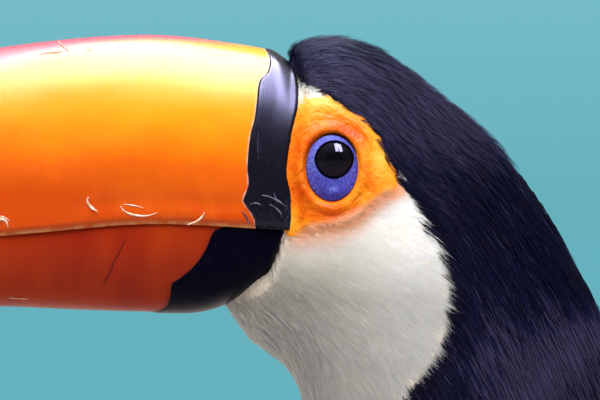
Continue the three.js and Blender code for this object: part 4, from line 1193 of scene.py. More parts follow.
# Which feathers grow where. The bare face, what the bill hides and what the wings hide stay
# free of them.
from_eye = np.hypot(skin_along - EYE_PLACE[0], skin_up - EYE_PLACE[1])
share_of_face = face_share(skin_along, skin_up)
on_side = np.abs(skin_x) > 8
lower_side = smooth_step(0.5, -1.5, skin_up - np.interp(skin_along, [0, 12, 20, 28],
                                                         [3, 5, 9, 12]))
fringe = lower_side * smooth_step(0.5, 4, skin_along)
bare = on_side * smooth_step(1.01 + 0.07 * fringe, 0.93 - 0.05 * fringe,
                             share_of_face + 0.1 * fringe)
bare = np.maximum(bare, (np.arange(len(skin_x)) < len(loft_points)) * on_side
                  * (share_of_face < 0.99))
edge = read_line(REAR_EDGE, np.clip(skin_up, 0, 46))
ROOTED_AHEAD = 2.6  # mm that the first feathers are rooted inside the rear of the bill
ahead_of = skin_along + ROOTED_AHEAD
behind_bill = np.where(skin_up > -1, smooth_step(-0.6, 0.3, ahead_of - edge),
                       smooth_step(1.2, -0.2, skin_up - read_line(KEEL, np.minimum(ahead_of, 0))))
behind_bill = np.where(ahead_of > 1.5, 1, behind_bill)
LORE_TOP = np.interp(skin_along, [-3, 0, 3, 6.5, 9], [37.5, 37.1, 36.2, 34.8, 33.5])
LORE_LOW = np.interp(skin_along, [-3, 1.5, 3.6, 6.6], [29.5, 31.3, 33, 34.6])
beside_face = (skin_up > -1) & (skin_up < LORE_LOW + 0.2) & (skin_along < 8)
beside_face &= (np.arange(len(skin_x)) < len(loft_points)) | (skin_along < 3.5)
behind_bill = np.where(beside_face, 0, behind_bill)
size = np.interp(from_eye, [12, 22, 36, 70, 110], [0.5, 0.72, 0.95, 1.25, 1.5])
size = np.where((skin_up > 28.5) & (skin_up < 39) & (skin_along < 8), 0.42, size)
size = np.where((skin_up >= 39) & (skin_along < 6), 0.95, size)
size = np.where(station > 8, np.interp(station, [8, 10, 13, 16], [0.8, 1, 1, 0.9]), size)
size = size + 0.4 * np.exp(-((skin_up - 8) / 13) ** 2) * (skin_along > 46) * (station < 9)
size = np.where(part_no == THIGH, 0.75, size)
size = np.where(part_no == WING_PART, np.interp(unwrap[:, 2], [0, 0.3, 1], [0.8, 1.25, 1.3]), size)
set_values(body_skin, "size", "FLOAT", size)
tip_along = skin_along + 4.7 * size * flow[:, 1]
tip_up = skin_up + 4.7 * size * flow[:, 2]
white_tip = np.minimum(inside_by(WHITE_EDGE, tip_along, tip_up), white_in + 1.5)
wing_edge = np.vstack([WING[:, 0:2], WING[::-1, 2:4]])
under_wing = (inside_by(wing_edge, skin_along, skin_up) > 7) * (np.abs(skin_x) > 18)
above_tail = (station > 12.8) * (station < 20) * (round_body < 68)
below_tail = (station > 13) * (station < 20) * (round_body > 105)
hem = (station < 20) * smooth_step(-4.5, -3.5, white_in) * smooth_step(0.3, -0.6, white_in)
hem = hem * smooth_step(-62, -74, skin_up)
white_cover = smooth_step(-0.9, 0.5, white_tip) * (1 - bare) * behind_bill * (station < 9.8)
lore = (skin_up > 28.5) * (skin_along < 14)
white_cover = np.where(lore, white_cover * smooth_step(0.8, 0.1, tip_up - LORE_TOP), white_cover)
black_start = np.where((skin_up > 8) & (skin_along < 26), 0.1, 1.6)
black_cover = smooth_step(black_start, black_start - 0.9, white_in)
at_lore = (skin_along < 8) & (skin_up > 28)
black_cover = np.where(at_lore, smooth_step(-0.1, 0.8, skin_up - LORE_TOP), black_cover)
black_cover = black_cover * (1 - bare) * behind_bill * (1 - hem)
sunk = np.zeros(len(size))
for k in np.flatnonzero(part_no == THIGH):
    place, normal = outline_tree.find_nearest(Vector(skin_rows[k]))[:2]
    sunk[k] = (Vector(skin_rows[k]) - place).dot(normal) < -0.001
on_wing_skin = part_no == WING_PART
wing_front = on_wing_skin * (unwrap[:, 1] > 0.03) * smooth_step(0.48, 0.36, unwrap[:, 2])
wing_back = on_wing_skin * (unwrap[:, 1] < 0.05) * (unwrap[:, 2] < 0.55)
on_trunk = black_cover * (station > 8) * (station < 20) * (1 - above_tail) * (1 - below_tail)
on_trunk = on_trunk * (1 - under_wing) + (part_no == THIGH) * (1 - sunk)
covers = {
    "lore": white_cover * lore,
    "throat_left": white_cover * (skin_up > -48) * (1 - lore) * (skin_x >= 0),
    "throat_right": white_cover * (skin_up > -48) * (1 - lore) * (skin_x < 0),
    "fringe": white_cover * (1 - lore) * smooth_step(1.34, 1.2, share_of_face) * on_side
    * (skin_along > 0),
    "throat_low": white_cover * (skin_up < -46),
    "wisps": black_cover * (station < 6) * smooth_step(1.5, 3.5, -white_in),
    "crown_left": black_cover * (skin_x >= 0) * (station < 5.1),
    "crown_right": black_cover * (skin_x < 0) * (station < 5.1),
    "neck_left": black_cover * (skin_x >= 0) * (station >= 5) * (station < 8.3),
    "neck_right": black_cover * (skin_x < 0) * (station >= 5) * (station < 8.3),
    "breast_hem": hem * (part_no == 0),
    "trunk_left": on_trunk * (skin_x >= 0), "trunk_right": on_trunk * (skin_x < 0),
    "wing_front_left": wing_front * (skin_x > 0), "wing_front_right": wing_front * (skin_x < 0),
    "wing_back": wing_back,
    "rump_white": above_tail, "crissum_red": below_tail}
for name, values in covers.items():
    set_values(body_skin, name, "FLOAT", values)
white_on = np.maximum(smooth_step(0.6, 1.8, white_in) * (station < 9.8), above_tail)
set_values(body_skin, "white_skin", "FLOAT", white_on)
set_values(body_skin, "red_skin", "FLOAT", np.maximum(below_tail, hem * (part_no == 0)))


BARB_POINTS = 7


def barb(root, bend, tip, width, thick):
    """One closed tapered barb through three points: a three-sided blade with a pointed tip."""
    root, bend, tip = (np.array(p, float) for p in (root, bend, tip))
    run = tip - root
    beside = np.array([run[1], -run[0], 0]) / max(np.hypot(run[0], run[1]), 1e-9)
    ring = [-0.5 * width * beside, 0.5 * width * beside, np.array([0, 0, thick])]
    points = [root + 0.8 * r for r in ring] + [bend + r for r in ring] + [tip]
    faces = [[0, 1, 2], [3, 4, 1, 0], [4, 5, 2, 1], [5, 3, 0, 2], [6, 4, 3], [6, 5, 4], [6, 3, 5]]
    return points, faces


def lock(name, chance, barbs, length, spread, gather, width, thick, lift, curl):
    """One feather's worth of barbs, in mm, with its root at the origin and its tip along Y."""
    points, faces, tones = [], [], []
    lean = chance.uniform(-curl, curl)
    for k in range(barbs):
        place = (k + 0.5) / barbs * 2 - 1 + chance.uniform(-0.15, 0.15)
        reach = length * (1 - 0.28 * place ** 2) * chance.uniform(0.85, 1.08)
        over = lift[0] + (lift[1] - lift[0]) * chance.random() ** 1.6
        first = chance.uniform(-0.12, 0.12) * length
        start = (place * spread * 0.6, first, -0.15)
        bend = (place * spread + lean * 0.3, first + reach * 0.35, over)
        tip = (place * spread * gather + lean, first + reach, over * chance.uniform(0.75, 1) + lift[2])
        more, quads = barb(start, bend, tip, width * chance.uniform(0.75, 1.25), thick)
        faces += [[i + len(points) for i in face] for face in quads]
        points += more
        tones += [chance.random()] * len(more)
    return lone_tuft(name, points, faces, tones)


def lone_tuft(name, points, faces, tones):
    """A tuft as an object outside the scene, whose points know their own place in it."""
    mesh = bpy.data.meshes.new(name)
    mesh.from_pydata([tuple(p) for p in np.array(points) * MM], [], faces)
    store = mesh.attributes.new("local", "FLOAT_VECTOR", "POINT")
    store.data.foreach_set("vector", (np.array(points) * MM).astype(np.float32).ravel())
    store = mesh.attributes.new("barb_tone", "FLOAT", "POINT")
    store.data.foreach_set("value", np.array(tones, np.float32))
    return bpy.data.objects.new(name, mesh)


def tuft_set(name, seed, variants, **sizes):
    chance = random.Random(seed)
    group = bpy.data.collections.new(name)
    for k in range(variants):
        group.objects.link(lock(f"{name}_{k}", chance, **sizes))
    return group


def coat_tree():
    """Scatters tufts over a skin, turns them to its lie and bends them to its surface."""
    tree = bpy.data.node_groups.new("coat", "GeometryNodeTree")
    sockets = (("Geometry", "Geometry"), ("Tufts", "Collection"), ("Finish", "Material"),
               ("Cover", "String"), ("Spacing", "Float"), ("Thickest", "Float"),
               ("Stray", "Float"), ("Raise", "Float"), ("Seed", "Int"))
    for name, kind in sockets:
        tree.interface.new_socket(name, in_out="INPUT", socket_type=f"NodeSocket{kind}")
    tree.interface.new_socket("Geometry", in_out="OUTPUT", socket_type="NodeSocketGeometry")
    given = put(tree, "NodeGroupInput").outputs
    cover = put(tree, "GeometryNodeInputNamedAttribute", {"Name": given["Cover"]}, data_type="FLOAT")
    scatter = put(tree, "GeometryNodeDistributePointsOnFaces",
        {"Mesh": given["Geometry"], "Seed": given["Seed"]}, distribute_method="POISSON")
    feed(scatter, {"Distance Min": given["Spacing"], "Density Max": given["Thickest"],
        "Density Factor": cover})
    here = put(tree, "GeometryNodeInputPosition")
    rooted = put(tree, "GeometryNodeStoreNamedAttribute", {"Geometry": scatter, "Name": "root",
        "Value": here}, data_type="FLOAT_VECTOR", domain="POINT")
    tone = put(tree, "FunctionNodeRandomValue", {2: 0.0, 3: 1.0, "Seed": given["Seed"]},
        data_type="FLOAT")
    toned = put(tree, "GeometryNodeStoreNamedAttribute", {"Geometry": rooted, "Name": "tone",
        "Value": tone.outputs[1]}, data_type="FLOAT", domain="POINT")
    lie = put(tree, "GeometryNodeInputNamedAttribute", {"Name": "lie"}, data_type="FLOAT_VECTOR")
    facing = put(tree, "FunctionNodeAxesToRotation", {"Primary Axis": scatter.outputs["Normal"],
        "Secondary Axis": lie}, primary_axis="Z", secondary_axis="Y")
    back = put(tree, "Math", {0: given["Stray"], 1: -1.0}, operation="MULTIPLY")
    yaw = put(tree, "FunctionNodeRandomValue", {2: back, 3: given["Stray"], "Seed": given["Seed"]},
        data_type="FLOAT")
    turn = put(tree, "CombineXYZ", {"Z": yaw.outputs[1]})
    turned = put(tree, "FunctionNodeEulerToRotation", {0: turn})
    aimed = put(tree, "FunctionNodeRotateRotation", {0: facing, 1: turned}, rotation_space="LOCAL")
    size = put(tree, "GeometryNodeInputNamedAttribute", {"Name": "size"}, data_type="FLOAT")
    vary = put(tree, "FunctionNodeRandomValue", {2: 0.82, 3: 1.2}, data_type="FLOAT")
    grown = put(tree, "Math", {0: size, 1: vary.outputs[1]}, operation="MULTIPLY")
    tufts = put(tree, "GeometryNodeCollectionInfo", {"Collection": given["Tufts"],
        "Separate Children": True, "Reset Children": True})
    placed = put(tree, "GeometryNodeInstanceOnPoints", {"Points": toned, "Instance": tufts,
        "Pick Instance": True, "Rotation": aimed, "Scale": grown})
    real = put(tree, "GeometryNodeRealizeInstances", {"Geometry": placed})
    onto = []
    for field in (put(tree, "GeometryNodeInputPosition"), put(tree, "GeometryNodeInputNormal")):
        onto.append(put(tree, "GeometryNodeSampleNearestSurface",
            {"Mesh": given["Geometry"], "Value": field}, data_type="FLOAT_VECTOR"))
    local = put(tree, "GeometryNodeInputNamedAttribute", {"Name": "local"}, data_type="FLOAT_VECTOR")
    parts = put(tree, "SeparateXYZ", {0: local})
    home = put(tree, "GeometryNodeInputNamedAttribute", {"Name": "unwrap"}, data_type="FLOAT_VECTOR")
    stretched = put(tree, "VectorMath", {0: home, 1: (16, 16, 34)}, operation="MULTIPLY")
    clumps = put(tree, "TexNoise", {"Vector": stretched, "Scale": 1.0, "Detail": 1.0})
    uneven = put(tree, "MapRange", {"Value": clumps, "From Min": 0.3, "From Max": 0.7, "To Min": 0.6,
        "To Max": 1.5})
    full = put(tree, "Math", {0: parts.outputs["Z"], 1: uneven}, operation="MULTIPLY")
    height = put(tree, "Math", {0: full, 1: size}, operation="MULTIPLY")
    raised = put(tree, "Math", {0: height, 1: given["Raise"]}, operation="MULTIPLY")
    over = put(tree, "VectorMath", {0: onto[1]}, operation="SCALE")
    feed(over, {"Scale": raised})
    place = put(tree, "VectorMath", {0: onto[0], 1: over}, operation="ADD")
    faced = put(tree, "GeometryNodeStoreNamedAttribute", {"Geometry": real, "Name": "over",
        "Value": onto[1]}, data_type="FLOAT_VECTOR", domain="POINT")
    laid = put(tree, "GeometryNodeSetPosition", {"Geometry": faced, "Position": place})
    done = put(tree, "GeometryNodeSetMaterial", {"Geometry": laid, "Material": given["Finish"]})
    put(tree, "NodeGroupOutput", {"Geometry": done})
    return tree


COAT_TREE = coat_tree()
PATCH = 0.003  # across, of each tuft on its map


def grow_coat(name, skin, tufts, finish, slot, unit, soft=0.6, **given):
    """Runs the coat's tree over a skin and keeps the result as a plain mesh with its own map.
    Soft is how much each barb is shaded as the skin under it, as fine down is."""
    carrier = bpy.data.objects.new(f"{name}_carrier", skin.data)
    bpy.context.scene.collection.objects.link(carrier)
    modifier = carrier.modifiers.new("coat", "NODES")
    modifier.node_group = COAT_TREE
    given.update({"Tufts": tufts, "Finish": finish})
    for socket in COAT_TREE.interface.items_tree:
        key = socket.name.lower()
        if socket.in_out == "INPUT" and (socket.name in given or key in given):
            modifier[socket.identifier] = given.get(socket.name, given.get(key))
    evaluated = carrier.evaluated_get(bpy.context.evaluated_depsgraph_get())
    mesh = bpy.data.meshes.new_from_object(evaluated)
    bpy.data.objects.remove(carrier)
    piece = bpy.data.objects.new(name, mesh)
    bpy.context.scene.collection.objects.link(piece)
    count = len(mesh.vertices)
    kind, local = np.empty(count * 3, np.float32), np.empty(count * 3, np.float32)
    mesh.attributes["unwrap"].data.foreach_get("vector", kind)
    mesh.attributes["local"].data.foreach_get("vector", local)
    kind, local = kind.reshape(-1, 3), local.reshape(-1, 3)
    home = np.stack([np.arctan2(kind[:, 1], kind[:, 0]) / (2 * np.pi) % 1, kind[:, 2]], 1)
    patch = np.clip(np.stack([local[:, 0] / unit / MM + 0.5, local[:, 1] / unit / MM], 1), 0, 1)
    spread = home * (1 - PATCH) + patch * PATCH
    corner = np.empty(len(mesh.loops), np.int32)
    mesh.loops.foreach_get("vertex_index", corner)
    layer = mesh.uv_layers.new(name="OFBake")
    layer.uv.foreach_set("vector", spread[corner].astype(np.float32).ravel())
    along_barb = np.clip(local[:, 1] / unit / MM, 0, 1)
    set_values(piece, "along_barb", "FLOAT", along_barb)
    set_values(piece, "home", "FLOAT_VECTOR", kind)
    over, own = np.empty(count * 3, np.float32), np.empty(count * 3, np.float32)
    mesh.attributes["over"].data.foreach_get("vector", over)
    mesh.vertex_normals.foreach_get("vector", own)
    place = np.empty(count * 3, np.float32)
    mesh.vertices.foreach_get("co", place)
    place, own = place.reshape(-1, BARB_POINTS, 3), own.reshape(-1, BARB_POINTS, 3)
    run = place[:, -1:] - place[:, :1]
    run /= np.linalg.norm(run, axis=2)[..., None].clip(1e-9)
    own = own - (own * run).sum(2)[..., None] * run
    along_mm = (place[..., 1].ravel() - mouth_y) / MM
    up_mm = (place[..., 2].ravel() - mouth_z) / MM
    over = over.reshape(-1, 3)
    near_face = np.exp(-((along_mm - 14) / 16) ** 4) * smooth_step(-16, -4, up_mm) * (up_mm < 14)
    over[:, 2] += (0.1 - np.minimum(over[:, 2], 0.1)) * near_face
    if finish is white_barbs:
        over[:, 2] += np.interp(up_mm, [-75, -45, -18, 0, 12], [-0.7, -0.48, -0.38, 0.25, 0.5])
        over[:, 1] += 0.3 * smooth_step(20, 34, along_mm) * (up_mm > -45)
    over /= np.linalg.norm(over, axis=1)[:, None].clip(1e-6)
    facing = soft * over + (1 - soft) * own.reshape(-1, 3)
    facing /= np.linalg.norm(facing, axis=1)[:, None].clip(1e-6)
    # Painted light and shade on the coat. On the black it is a painted sheen, lighter over the crown
    # and low on the neck behind the throat. On the white it is painted darkest at the front of the
    # throat a little under the face, and lighter and bluer above, below and towards the rear.
    painted_light_and_shade = smooth_step(8, 30, up_mm) * (1.1 - smooth_step(39, 44.5, up_mm)) + 1.5 * (
        smooth_step(30, 70, along_mm) * smooth_step(-12, -38, up_mm))
    if finish is white_barbs:
        painted_light_and_shade = smooth_step(6, 36, along_mm) * smooth_step(-70, -30, up_mm)
        painted_light_and_shade = np.maximum(painted_light_and_shade, 0.5 * smooth_step(-14, -24, up_mm))
        painted_light_and_shade = np.maximum(painted_light_and_shade, 0.55 * smooth_step(-13, 1, up_mm))
    set_values(piece, "painted_light_and_shade", "FLOAT", np.minimum(painted_light_and_shade, 1.5))
    out_by = np.hypot(along_mm - EYE_PLACE[0], up_mm - EYE_PLACE[1])
    out_by = out_by * (1 - 1 / face_share(along_mm, up_mm).clip(0.1))
    blush = smooth_step(np.interp(along_mm, [10, 24], [8.5, 3.6]), -0.5, out_by)
    set_values(piece, "blush", "FLOAT", blush * smooth_step(16, 10, up_mm))
    for extra_name in [a.name for a in mesh.attributes]:
        if extra_name in ("root", "unwrap", "local", "size", "lie", "warmth", "pale", "ring_light",
                          "dark_rim", "round_eye", "white_skin", "scute", "red_skin", "over", *covers):
            mesh.attributes.remove(mesh.attributes[extra_name])
    mesh.shade_smooth()
    mesh.normals_split_custom_set_from_vertices(facing.tolist())
    piece.visible_shadow = finish is not white_barbs  # white down lets light through
    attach(piece, "root")
    return piece


# Black plumage: melanin-black keratin barbs, softly glossy, with a cold purple-blue tint. A painted
# sheen lightens the crown and the lower neck behind the throat.
black_barbs, tree, shader = new_material("black_plumage")
tone_node, barb_node, strand_node = (
    put(tree, "Attribute", attribute_name=name) for name in ("tone", "along_barb", "barb_tone"))
both = put(tree, "Mix", {"Factor": 0.6, 2: tone_node, 3: strand_node})
home_node = put(tree, "Attribute", attribute_name="home")
drawn = put(tree, "Mapping", {"Vector": home_node.outputs["Vector"], "Scale": (24, 24, 16)})
sheen = put(tree, "TexNoise", {"Vector": drawn, "Scale": 1.0, "Detail": 2.0})
sheened = put(tree, "MapRange", {"Value": sheen, "From Min": 0.35, "From Max": 0.7, "To Min": -0.2,
    "To Max": 0.25})
both = put(tree, "Math", {0: both, 1: sheened}, operation="ADD")
painted_light_and_shade_node = put(tree, "Attribute", attribute_name="painted_light_and_shade")
both = put(tree, "Math", {0: painted_light_and_shade_node, 1: 0.74, 2: both}, operation="MULTIPLY_ADD")
hue = put(tree, "ValToRGB", {"Fac": both}, [(0.1, "040622"), (0.5, "080B36"), (0.8, "151748"),
    (1.0, "4C4A70")])
tip = put(tree, "Mix", {"Factor": barb_node, 6: linear("08070E"), 7: hue}, data_type="RGBA")
feed(shader, {"Base Color": tip, "Roughness": 0.4, "Specular IOR Level": 0.09,
    "Specular Tint": linear("B8B4F0")})

# White plumage: unpigmented barbs that scatter light, thin enough beside the face for the
# colour of its skin to show through.
white_barbs, tree, shader = new_material("white_plumage")
tone_node, barb_node, strand_node = (
    put(tree, "Attribute", attribute_name=name) for name in ("tone", "along_barb", "barb_tone"))
both = put(tree, "Mix", {"Factor": 0.6, 2: tone_node, 3: strand_node})
hue = put(tree, "ValToRGB", {"Fac": both}, [(0.15, "E9E7E5"), (0.5, "F3F2F0"), (0.85, "FCFBFA")])
# Painted shade and light: the white is tinted darker at the front of the throat under the face and
# lighter and bluer elsewhere.
painted_light_and_shade_node = put(tree, "Attribute", attribute_name="painted_light_and_shade")
shade_and_light_tint = put(tree, "Mix", {"Factor": painted_light_and_shade_node, 6: linear("DEDFD8"), 7: linear("F5FAFF")},
    data_type="RGBA")
stained_and_shaded = put(tree, "Mix", {"Factor": 1.0, 6: hue, 7: shade_and_light_tint}, data_type="RGBA", blend_type="MULTIPLY")
blush_node = put(tree, "Attribute", attribute_name="blush")
warmed = put(tree, "ValToRGB", {"Fac": blush_node}, [(0.0, "FFFFFF"), (0.25, "FFF6F4"), (0.5, "FFE8E2"),
    (0.75, "FFD4C2"), (1.0, "FFB588")])
flushed = put(tree, "Mix", {"Factor": 1.0, 6: stained_and_shaded, 7: warmed}, data_type="RGBA",
    blend_type="MULTIPLY")
feed(shader, {"Base Color": flushed, "Roughness": 0.7, "Specular IOR Level": 0.2})

hairs = tuft_set("hairs", 11, 6, barbs=8, length=9.0, spread=1.1, gather=0.7, width=0.2,
                 thick=0.09, lift=(0.15, 0.95, 0.1), curl=0.6)
wisps = tuft_set("wisps", 13, 5, barbs=5, length=7.5, spread=0.5, gather=1.6, width=0.15,
                 thick=0.08, lift=(0.9, 1.7, 0.7), curl=1.6)
down = tuft_set("down", 12, 7, barbs=8, length=7.5, spread=1.0, gather=0.85, width=0.15,
                thick=0.07, lift=(0.1, 0.45, 0.0), curl=0.5)

# Red plumage: the same loose barbs, dyed by carotenoids.
red_barbs, tree, shader = new_material("red_plumage")
strand_node = put(tree, "Attribute", attribute_name="barb_tone")
hue = put(tree, "ValToRGB", {"Fac": strand_node}, [(0.0, "8E0E0A"), (0.5, "C41A10"), (1.0, "E03A1C")])
feed(shader, {"Base Color": hue, "Roughness": 0.6, "Specular IOR Level": 0.2})

RAISES = {"crown_left": 0.75, "crown_right": 0.75, "fringe": 1.0, "lore": 0.6}
for name, tufts, finish, slot, spacing, seed in (
        ("lore", down, white_barbs, "plumage_white", 0.0005, 7),
        ("fringe", down, white_barbs, "plumage_white", 0.0009, 16),
        ("throat_left", down, white_barbs, "plumage_white", 0.00112, 1),
        ("throat_right", down, white_barbs, "plumage_white", 0.0015, 17),
        ("throat_low", down, white_barbs, "plumage_white", 0.0017, 2),
        ("crown_left", hairs, black_barbs, "plumage_black", 0.00058, 3),
        ("crown_right", hairs, black_barbs, "plumage_black", 0.0008, 4),
        ("neck_left", hairs, black_barbs, "plumage_black", 0.0012, 5),
        ("neck_right", hairs, black_barbs, "plumage_black", 0.0017, 6),
        ("trunk_left", hairs, black_barbs, "plumage_black", 0.0026, 9),
        ("trunk_right", hairs, black_barbs, "plumage_black", 0.003, 18),
        ("wing_front_left", hairs, black_barbs, "plumage_black", 0.0021, 13),
        ("wing_front_right", hairs, black_barbs, "plumage_black", 0.0023, 14),
        ("wing_back", hairs, black_barbs, "plumage_black", 0.003, 15),
        ("rump_white", down, white_barbs, "plumage_white", 0.0019, 10),
        ("crissum_red", down, red_barbs, "plumage_white", 0.0019, 11),
        ("breast_hem", down, red_barbs, "plumage_white", 0.0013, 12)):
    grow_coat(f"coat_{name}", body_skin, tufts, finish, slot, 9.0,
              0.93 if tufts == down else 0.6, cover=name, spacing=spacing,
              thickest=8.0e6, stray=0.1, Raise=RAISES.get(name, 1.0), seed=seed)
grow_coat("coat_wisps", body_skin, wisps, black_barbs, "plumage_black", 9.0, cover="wisps",
          spacing=0.0013, thickest=8.0e6, stray=0.25, Raise=0.85, seed=8)

# ---- Feathers of the wings ----------------------------------------------------------------
# Each wing is folded, with rows of small coverts over its front half and long flight feathers
# behind them. A feather is a thin cambered vane on a shaft, and each lies over the one below it.
wing_grid = [g for g in np.meshgrid(np.linspace(-0.02, 1.02, 120), np.linspace(-0.04, 1.04, 50),
                                    indexing="ij")]
wing_tree = BVHTree.FromPolygons(rows(*wing_surface(1, *wing_grid)[:3]).tolist(),
                                 quad_grid(120, 50, False).tolist())


def over_wing(along, up, height):
    """Points over the left wing, seen square from the side, height mm out from its outline."""
    found = []
    for a, z, h in zip(along.ravel(), up.ravel(), height.ravel()):
        hit = wing_tree.ray_cast(at(90, a, z), Vector((-1, 0, 0)))[0]
        if hit is None:
            hit = wing_tree.find_nearest(at(20, a, z))[0]
        found.append((hit.x + h * MM, hit.y, hit.z))
    return np.array(found).reshape(along.shape + (3,))


def feather(root, tip, width, low, high, surface, bow=0.0, camber=0.5, steps=7, columns=5):
    """One closed vane laid on a surface, from its root to its tip, with its own coordinates."""
    t = np.linspace(0, 1, steps)[:, None]
    u = np.concatenate([np.linspace(-1, 1, columns), np.linspace(1, -1, columns)[1:-1]])[None]
    under = (np.arange(u.shape[1]) >= columns)[None] * 0.28
    root, tip = np.array(root, float), np.array(tip, float)
    run = tip - root
    beside = np.array([-run[1], run[0]]) / np.hypot(*run)
    half = width / 2 * (0.2 + 0.8 * smooth_step(0, 0.3, t))
    half = half * np.sqrt(1 - np.clip((t - 0.74) / 0.262, 0, 1) ** 2.4)
    off = bow * 4 * t * (1 - t) + half * u
    height = low + (high - low) * t + camber * (1 - u ** 2) * (half / width * 2) - under
    height = height + 0.22 * np.exp(-(u / 0.12) ** 2) * (1 - t) * (under == 0)
    points = surface(root[0] + run[0] * t + beside[0] * off,
                     root[1] + run[1] * t + beside[1] * off, height + 0 * off)
    own = np.stack(np.broadcast_arrays(u, t, np.hypot(*run) / 100 + 0 * off), -1)
    return points, own.reshape(-1, 3)


def feather_piece(name, feathers, homes, seed, finish, mirror=False):
    """Joins feathers into one piece, mirrored for the right side, each with its patch of map."""
    chance = random.Random(seed)
    points, faces, own, tones, spread = [], [], [], [], []
    count = 0
    for (grid, local), home in zip(feathers, homes):
        grid = grid * [-1, 1, 1] if mirror else grid
        more, quads = capped(grid, not mirror)
        points.append(more)
        faces += [[i + count for i in face] for face in quads]
        count += len(more)
        local = np.vstack([local, [0, 0, local[0, 2]], [0, 1, local[0, 2]]])
        own.append(local)
        tones += [chance.random()] * len(more)
        patch = np.stack([local[:, 0] / 2 + 0.5, local[:, 1]], 1)
        spread.append(np.array(home) * (1 - PATCH) + patch * PATCH)
    piece = mesh_object(name, np.vstack(points), faces)
    set_values(piece, "vane", "FLOAT_VECTOR", np.vstack(own))
    set_values(piece, "tone", "FLOAT", tones)
    corner = np.empty(len(piece.data.loops), np.int32)
    piece.data.loops.foreach_get("vertex_index", corner)
    layer = piece.data.uv_layers.new(name="OFBake")
    layer.uv.foreach_set("vector", np.vstack(spread)[corner].astype(np.float32).ravel())
    piece.data.materials.append(finish)
    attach(piece, "root")
    return piece


# Black vanes: barbs hooked flat together, glossy, with the shaft along the middle.
black_vanes, tree, shader = new_material("black_vanes")
vane_node = put(tree, "Attribute", attribute_name="vane")
tone_node = put(tree, "Attribute", attribute_name="tone")
split = put(tree, "SeparateXYZ", {0: vane_node.outputs["Vector"]})
out_from_shaft = put(tree, "Math", {0: split.outputs["X"]}, operation="ABSOLUTE")
down_length = put(tree, "Math", {0: split.outputs["Y"], 1: split.outputs["Z"]}, operation="MULTIPLY")
slant = put(tree, "Math", {0: out_from_shaft, 1: -0.09, 2: down_length}, operation="MULTIPLY_ADD")
barb_place = put(tree, "CombineXYZ", {"X": slant, "Y": tone_node})
barb_lines = put(tree, "TexNoise", {"Vector": barb_place, "Scale": 190.0, "Detail": 2.0})
shaded = put(tree, "Math", {0: barb_lines, 1: 0.5, 2: tone_node}, operation="MULTIPLY_ADD")
hue = put(tree, "ValToRGB", {"Fac": shaded}, [(0.2, "06060C"), (0.8, "0D0D18"), (1.3, "1A1A2A")])
feed(shader, {"Base Color": hue, "Roughness": 0.5, "Specular IOR Level": 0.07,
    "Specular Tint": linear("C4C8F4")})
hooked = put(tree, "Bump", {"Height": barb_lines, "Strength": 0.35, "Distance": 0.0005})
feed(shader, {"Normal": hooked})


def on_wing(outward, downward):
    """Along and up of a place on the folded wing, from its share out and its share down."""
    _, a, z, _ = wing_surface(1, np.array([outward]), np.array([downward]))
    return np.array([a[0], z[0]])


chance = random.Random(21)
coverts, covert_homes = [], []
COVERT_ROWS, FIRST_COVERT, LAST_COVERT = 7, 0.3, 0.52
for row in range(COVERT_ROWS):
    out_share = FIRST_COVERT + (LAST_COVERT - FIRST_COVERT) * row / (COVERT_ROWS - 1)
    size = 18 + 11 * row / (COVERT_ROWS - 1)
    high_edge, low_edge = on_wing(out_share, 0.0), on_wing(out_share, 1.0)
    across = max(4, int(np.hypot(*(high_edge - low_edge)) / (size * 0.36)))
    for k in range(across + 1):
        down_share = 0.17 + 0.8 * (k + 0.5 * (row % 2)) / (across + 0.5)
        root = on_wing(out_share, down_share)
        ahead_place = on_wing(min(out_share + 0.1, 1), down_share)
        way = (ahead_place - root) / np.hypot(*(ahead_place - root))
        way = way + np.array([0.02, -0.16]) * (1 - down_share)
        length = size * chance.uniform(0.92, 1.1)
        level = 0.2 - 0.3 * row / COVERT_ROWS
        coverts.append(feather(root, root + way * length, size * 0.56, level - 0.9,
                               level - 0.1 + chance.uniform(-0.06, 0.06), over_wing, camber=0.12))
        covert_homes.append((0.02 + 0.9 * min(down_share, 1), 0.02 + 0.9 * out_share))

FLIGHT = 15  # tertials, secondaries and primaries, from the top one down
flights, flight_homes = [], []
for k in range(FLIGHT):
    share = k / (FLIGHT - 1)
    root = on_wing(0.36 + 0.06 * share, 0.06 + 0.86 * share)
    tip_out = np.interp(share, [0, 0.3, 0.6, 0.75, 0.9, 1], [0.66, 0.82, 0.96, 1.0, 0.96, 0.88])
    tip_down = np.interp(share, [0, 0.3, 0.6, 0.75, 0.9, 1], [0.1, 0.16, 0.26, 0.5, 0.9, 1.02])
    tip = on_wing(tip_out, tip_down)
    width = np.interp(share, [0, 0.4, 0.8, 1], [17, 19, 14, 10])
    level = 0.5 - 1.3 * share
    flights.append(feather(root, tip, width, level - 0.6, level, over_wing,
                           bow=-3.0 * (1 - share), camber=0.7, steps=26, columns=9))
    flight_homes.append((0.02 + 0.9 * share, 0.4 + 0.04 * share))
for name, mirror in (("left", False), ("right", True)):
    feather_piece(f"wing_coverts_{name}", coverts, covert_homes, 31, black_vanes,
                  mirror)
    feather_piece(f"wing_flight_{name}", flights, flight_homes, 32, black_vanes,
                  mirror)

# ---- Tail ---------------------------------------------------------------------------------
# Ten stiff black feathers on the last bones of the back, held nearly closed. The middle pair is
# longest and lies on top.
TAIL_ROOT, TAIL_LENGTH, TAIL_DROOP = (158, -180), 148, math.radians(25)


def over_tail(x, back, height):
    """Points on the tail, x mm off the middle and back mm from its root, height mm above it."""
    arch_drop = -0.12 * (x / 28) ** 2 * 28
    above = height + arch_drop
    along = TAIL_ROOT[0] + back * math.cos(TAIL_DROOP) + above * math.sin(TAIL_DROOP)
    up = TAIL_ROOT[1] - back * math.sin(TAIL_DROOP) + above * math.cos(TAIL_DROOP)
    return rows(x, along, up).reshape(x.shape + (3,))


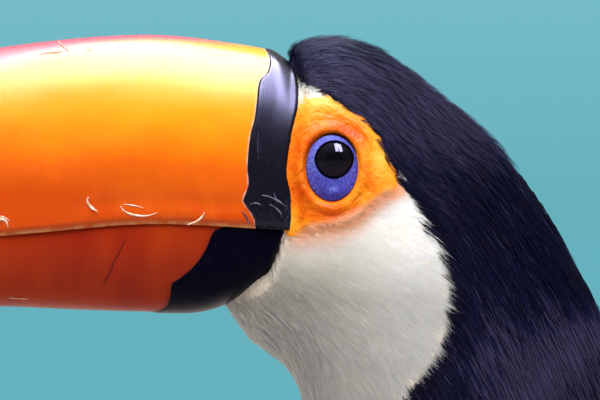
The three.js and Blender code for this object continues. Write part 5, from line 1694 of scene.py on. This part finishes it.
rectrices, tail_homes = [], []
for pair in range(5):
    for side in (1, -1):
        root = (side * (2 + 2.2 * pair), -10)
        tip = (side * (5.5 + 4.2 * pair), TAIL_LENGTH * (1 - 0.012 * pair ** 2) - 1)
        level = 0.9 - 0.62 * pair - (0.25 if side < 0 else 0)
        rectrices.append(feather(root, tip, 17 - 0.8 * pair, level + 0.6, level, over_tail,
                                 bow=side, camber=0.5, steps=30, columns=9))
        tail_homes.append((0.5 + side * (0.04 + 0.08 * pair), 0.3))
tail = feather_piece("tail_feathers", rectrices, tail_homes, 33, black_vanes)
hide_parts("tail")

# ---- Claws --------------------------------------------------------------------------------
# Each toe ends in a curved claw of dark horn over the last bone, worn smooth at its tip and a
# little blunt where it meets the ground.
CLAW_RINGS, CLAW_SPOKES = 26, 18
claw_points, claw_faces = [], []
count = 0
for side in (1, -1):
    for _, turn, length, radius, claw, _ in TOES:
        share = np.linspace(-0.06, 1, CLAW_RINGS)
        reach = length - 0.5 + 0.62 * claw * np.sin(1.75 * share)
        height = (2.9 - 2.35 * share.clip(0) ** 1.7 + 1.4 * np.sin(np.pi * share)).clip(0.3)
        thick = 0.58 * radius * (1 - 0.84 * share)
        x = side * FOOT[0] - math.sin(math.radians(turn) * side) * reach
        a = FOOT[1] - math.cos(math.radians(turn)) * reach
        stations = np.stack([x, a, height, 0.85 * thick, 1.15 * thick], 1)
        stations[-1, 3:] = 0.12
        grid = limb_grid(stations, 60, CLAW_SPOKES)
        grid[..., 2] = np.maximum(grid[..., 2], 0.00005)
        more, quads = capped(grid)
        claw_points.append(more)
        claw_faces += [[i + count for i in face] for face in quads]
        count += len(more)
claws = mesh_object("claws", np.vstack(claw_points), claw_faces)
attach(claws, "root")
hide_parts(*[f"claw_{toe[0]}_{side}" for toe in TOES for side in ("left", "right")])
claw_horn, tree, shader = new_material("dark_claw_horn")
object_place = put(tree, "TexCoord")
layers = put(tree, "TexNoise", {"Vector": object_place, "Scale": 500.0, "Detail": 4.0})
hue = put(tree, "ValToRGB", {"Fac": layers}, [(0.3, "1C1B20"), (0.7, "3A383C")])
feed(shader, {"Base Color": hue, "Roughness": 0.34})
growth = put(tree, "Bump", {"Height": layers, "Strength": 0.25, "Distance": 0.0003})
feed(shader, {"Normal": growth})
claws.data.materials.append(claw_horn)
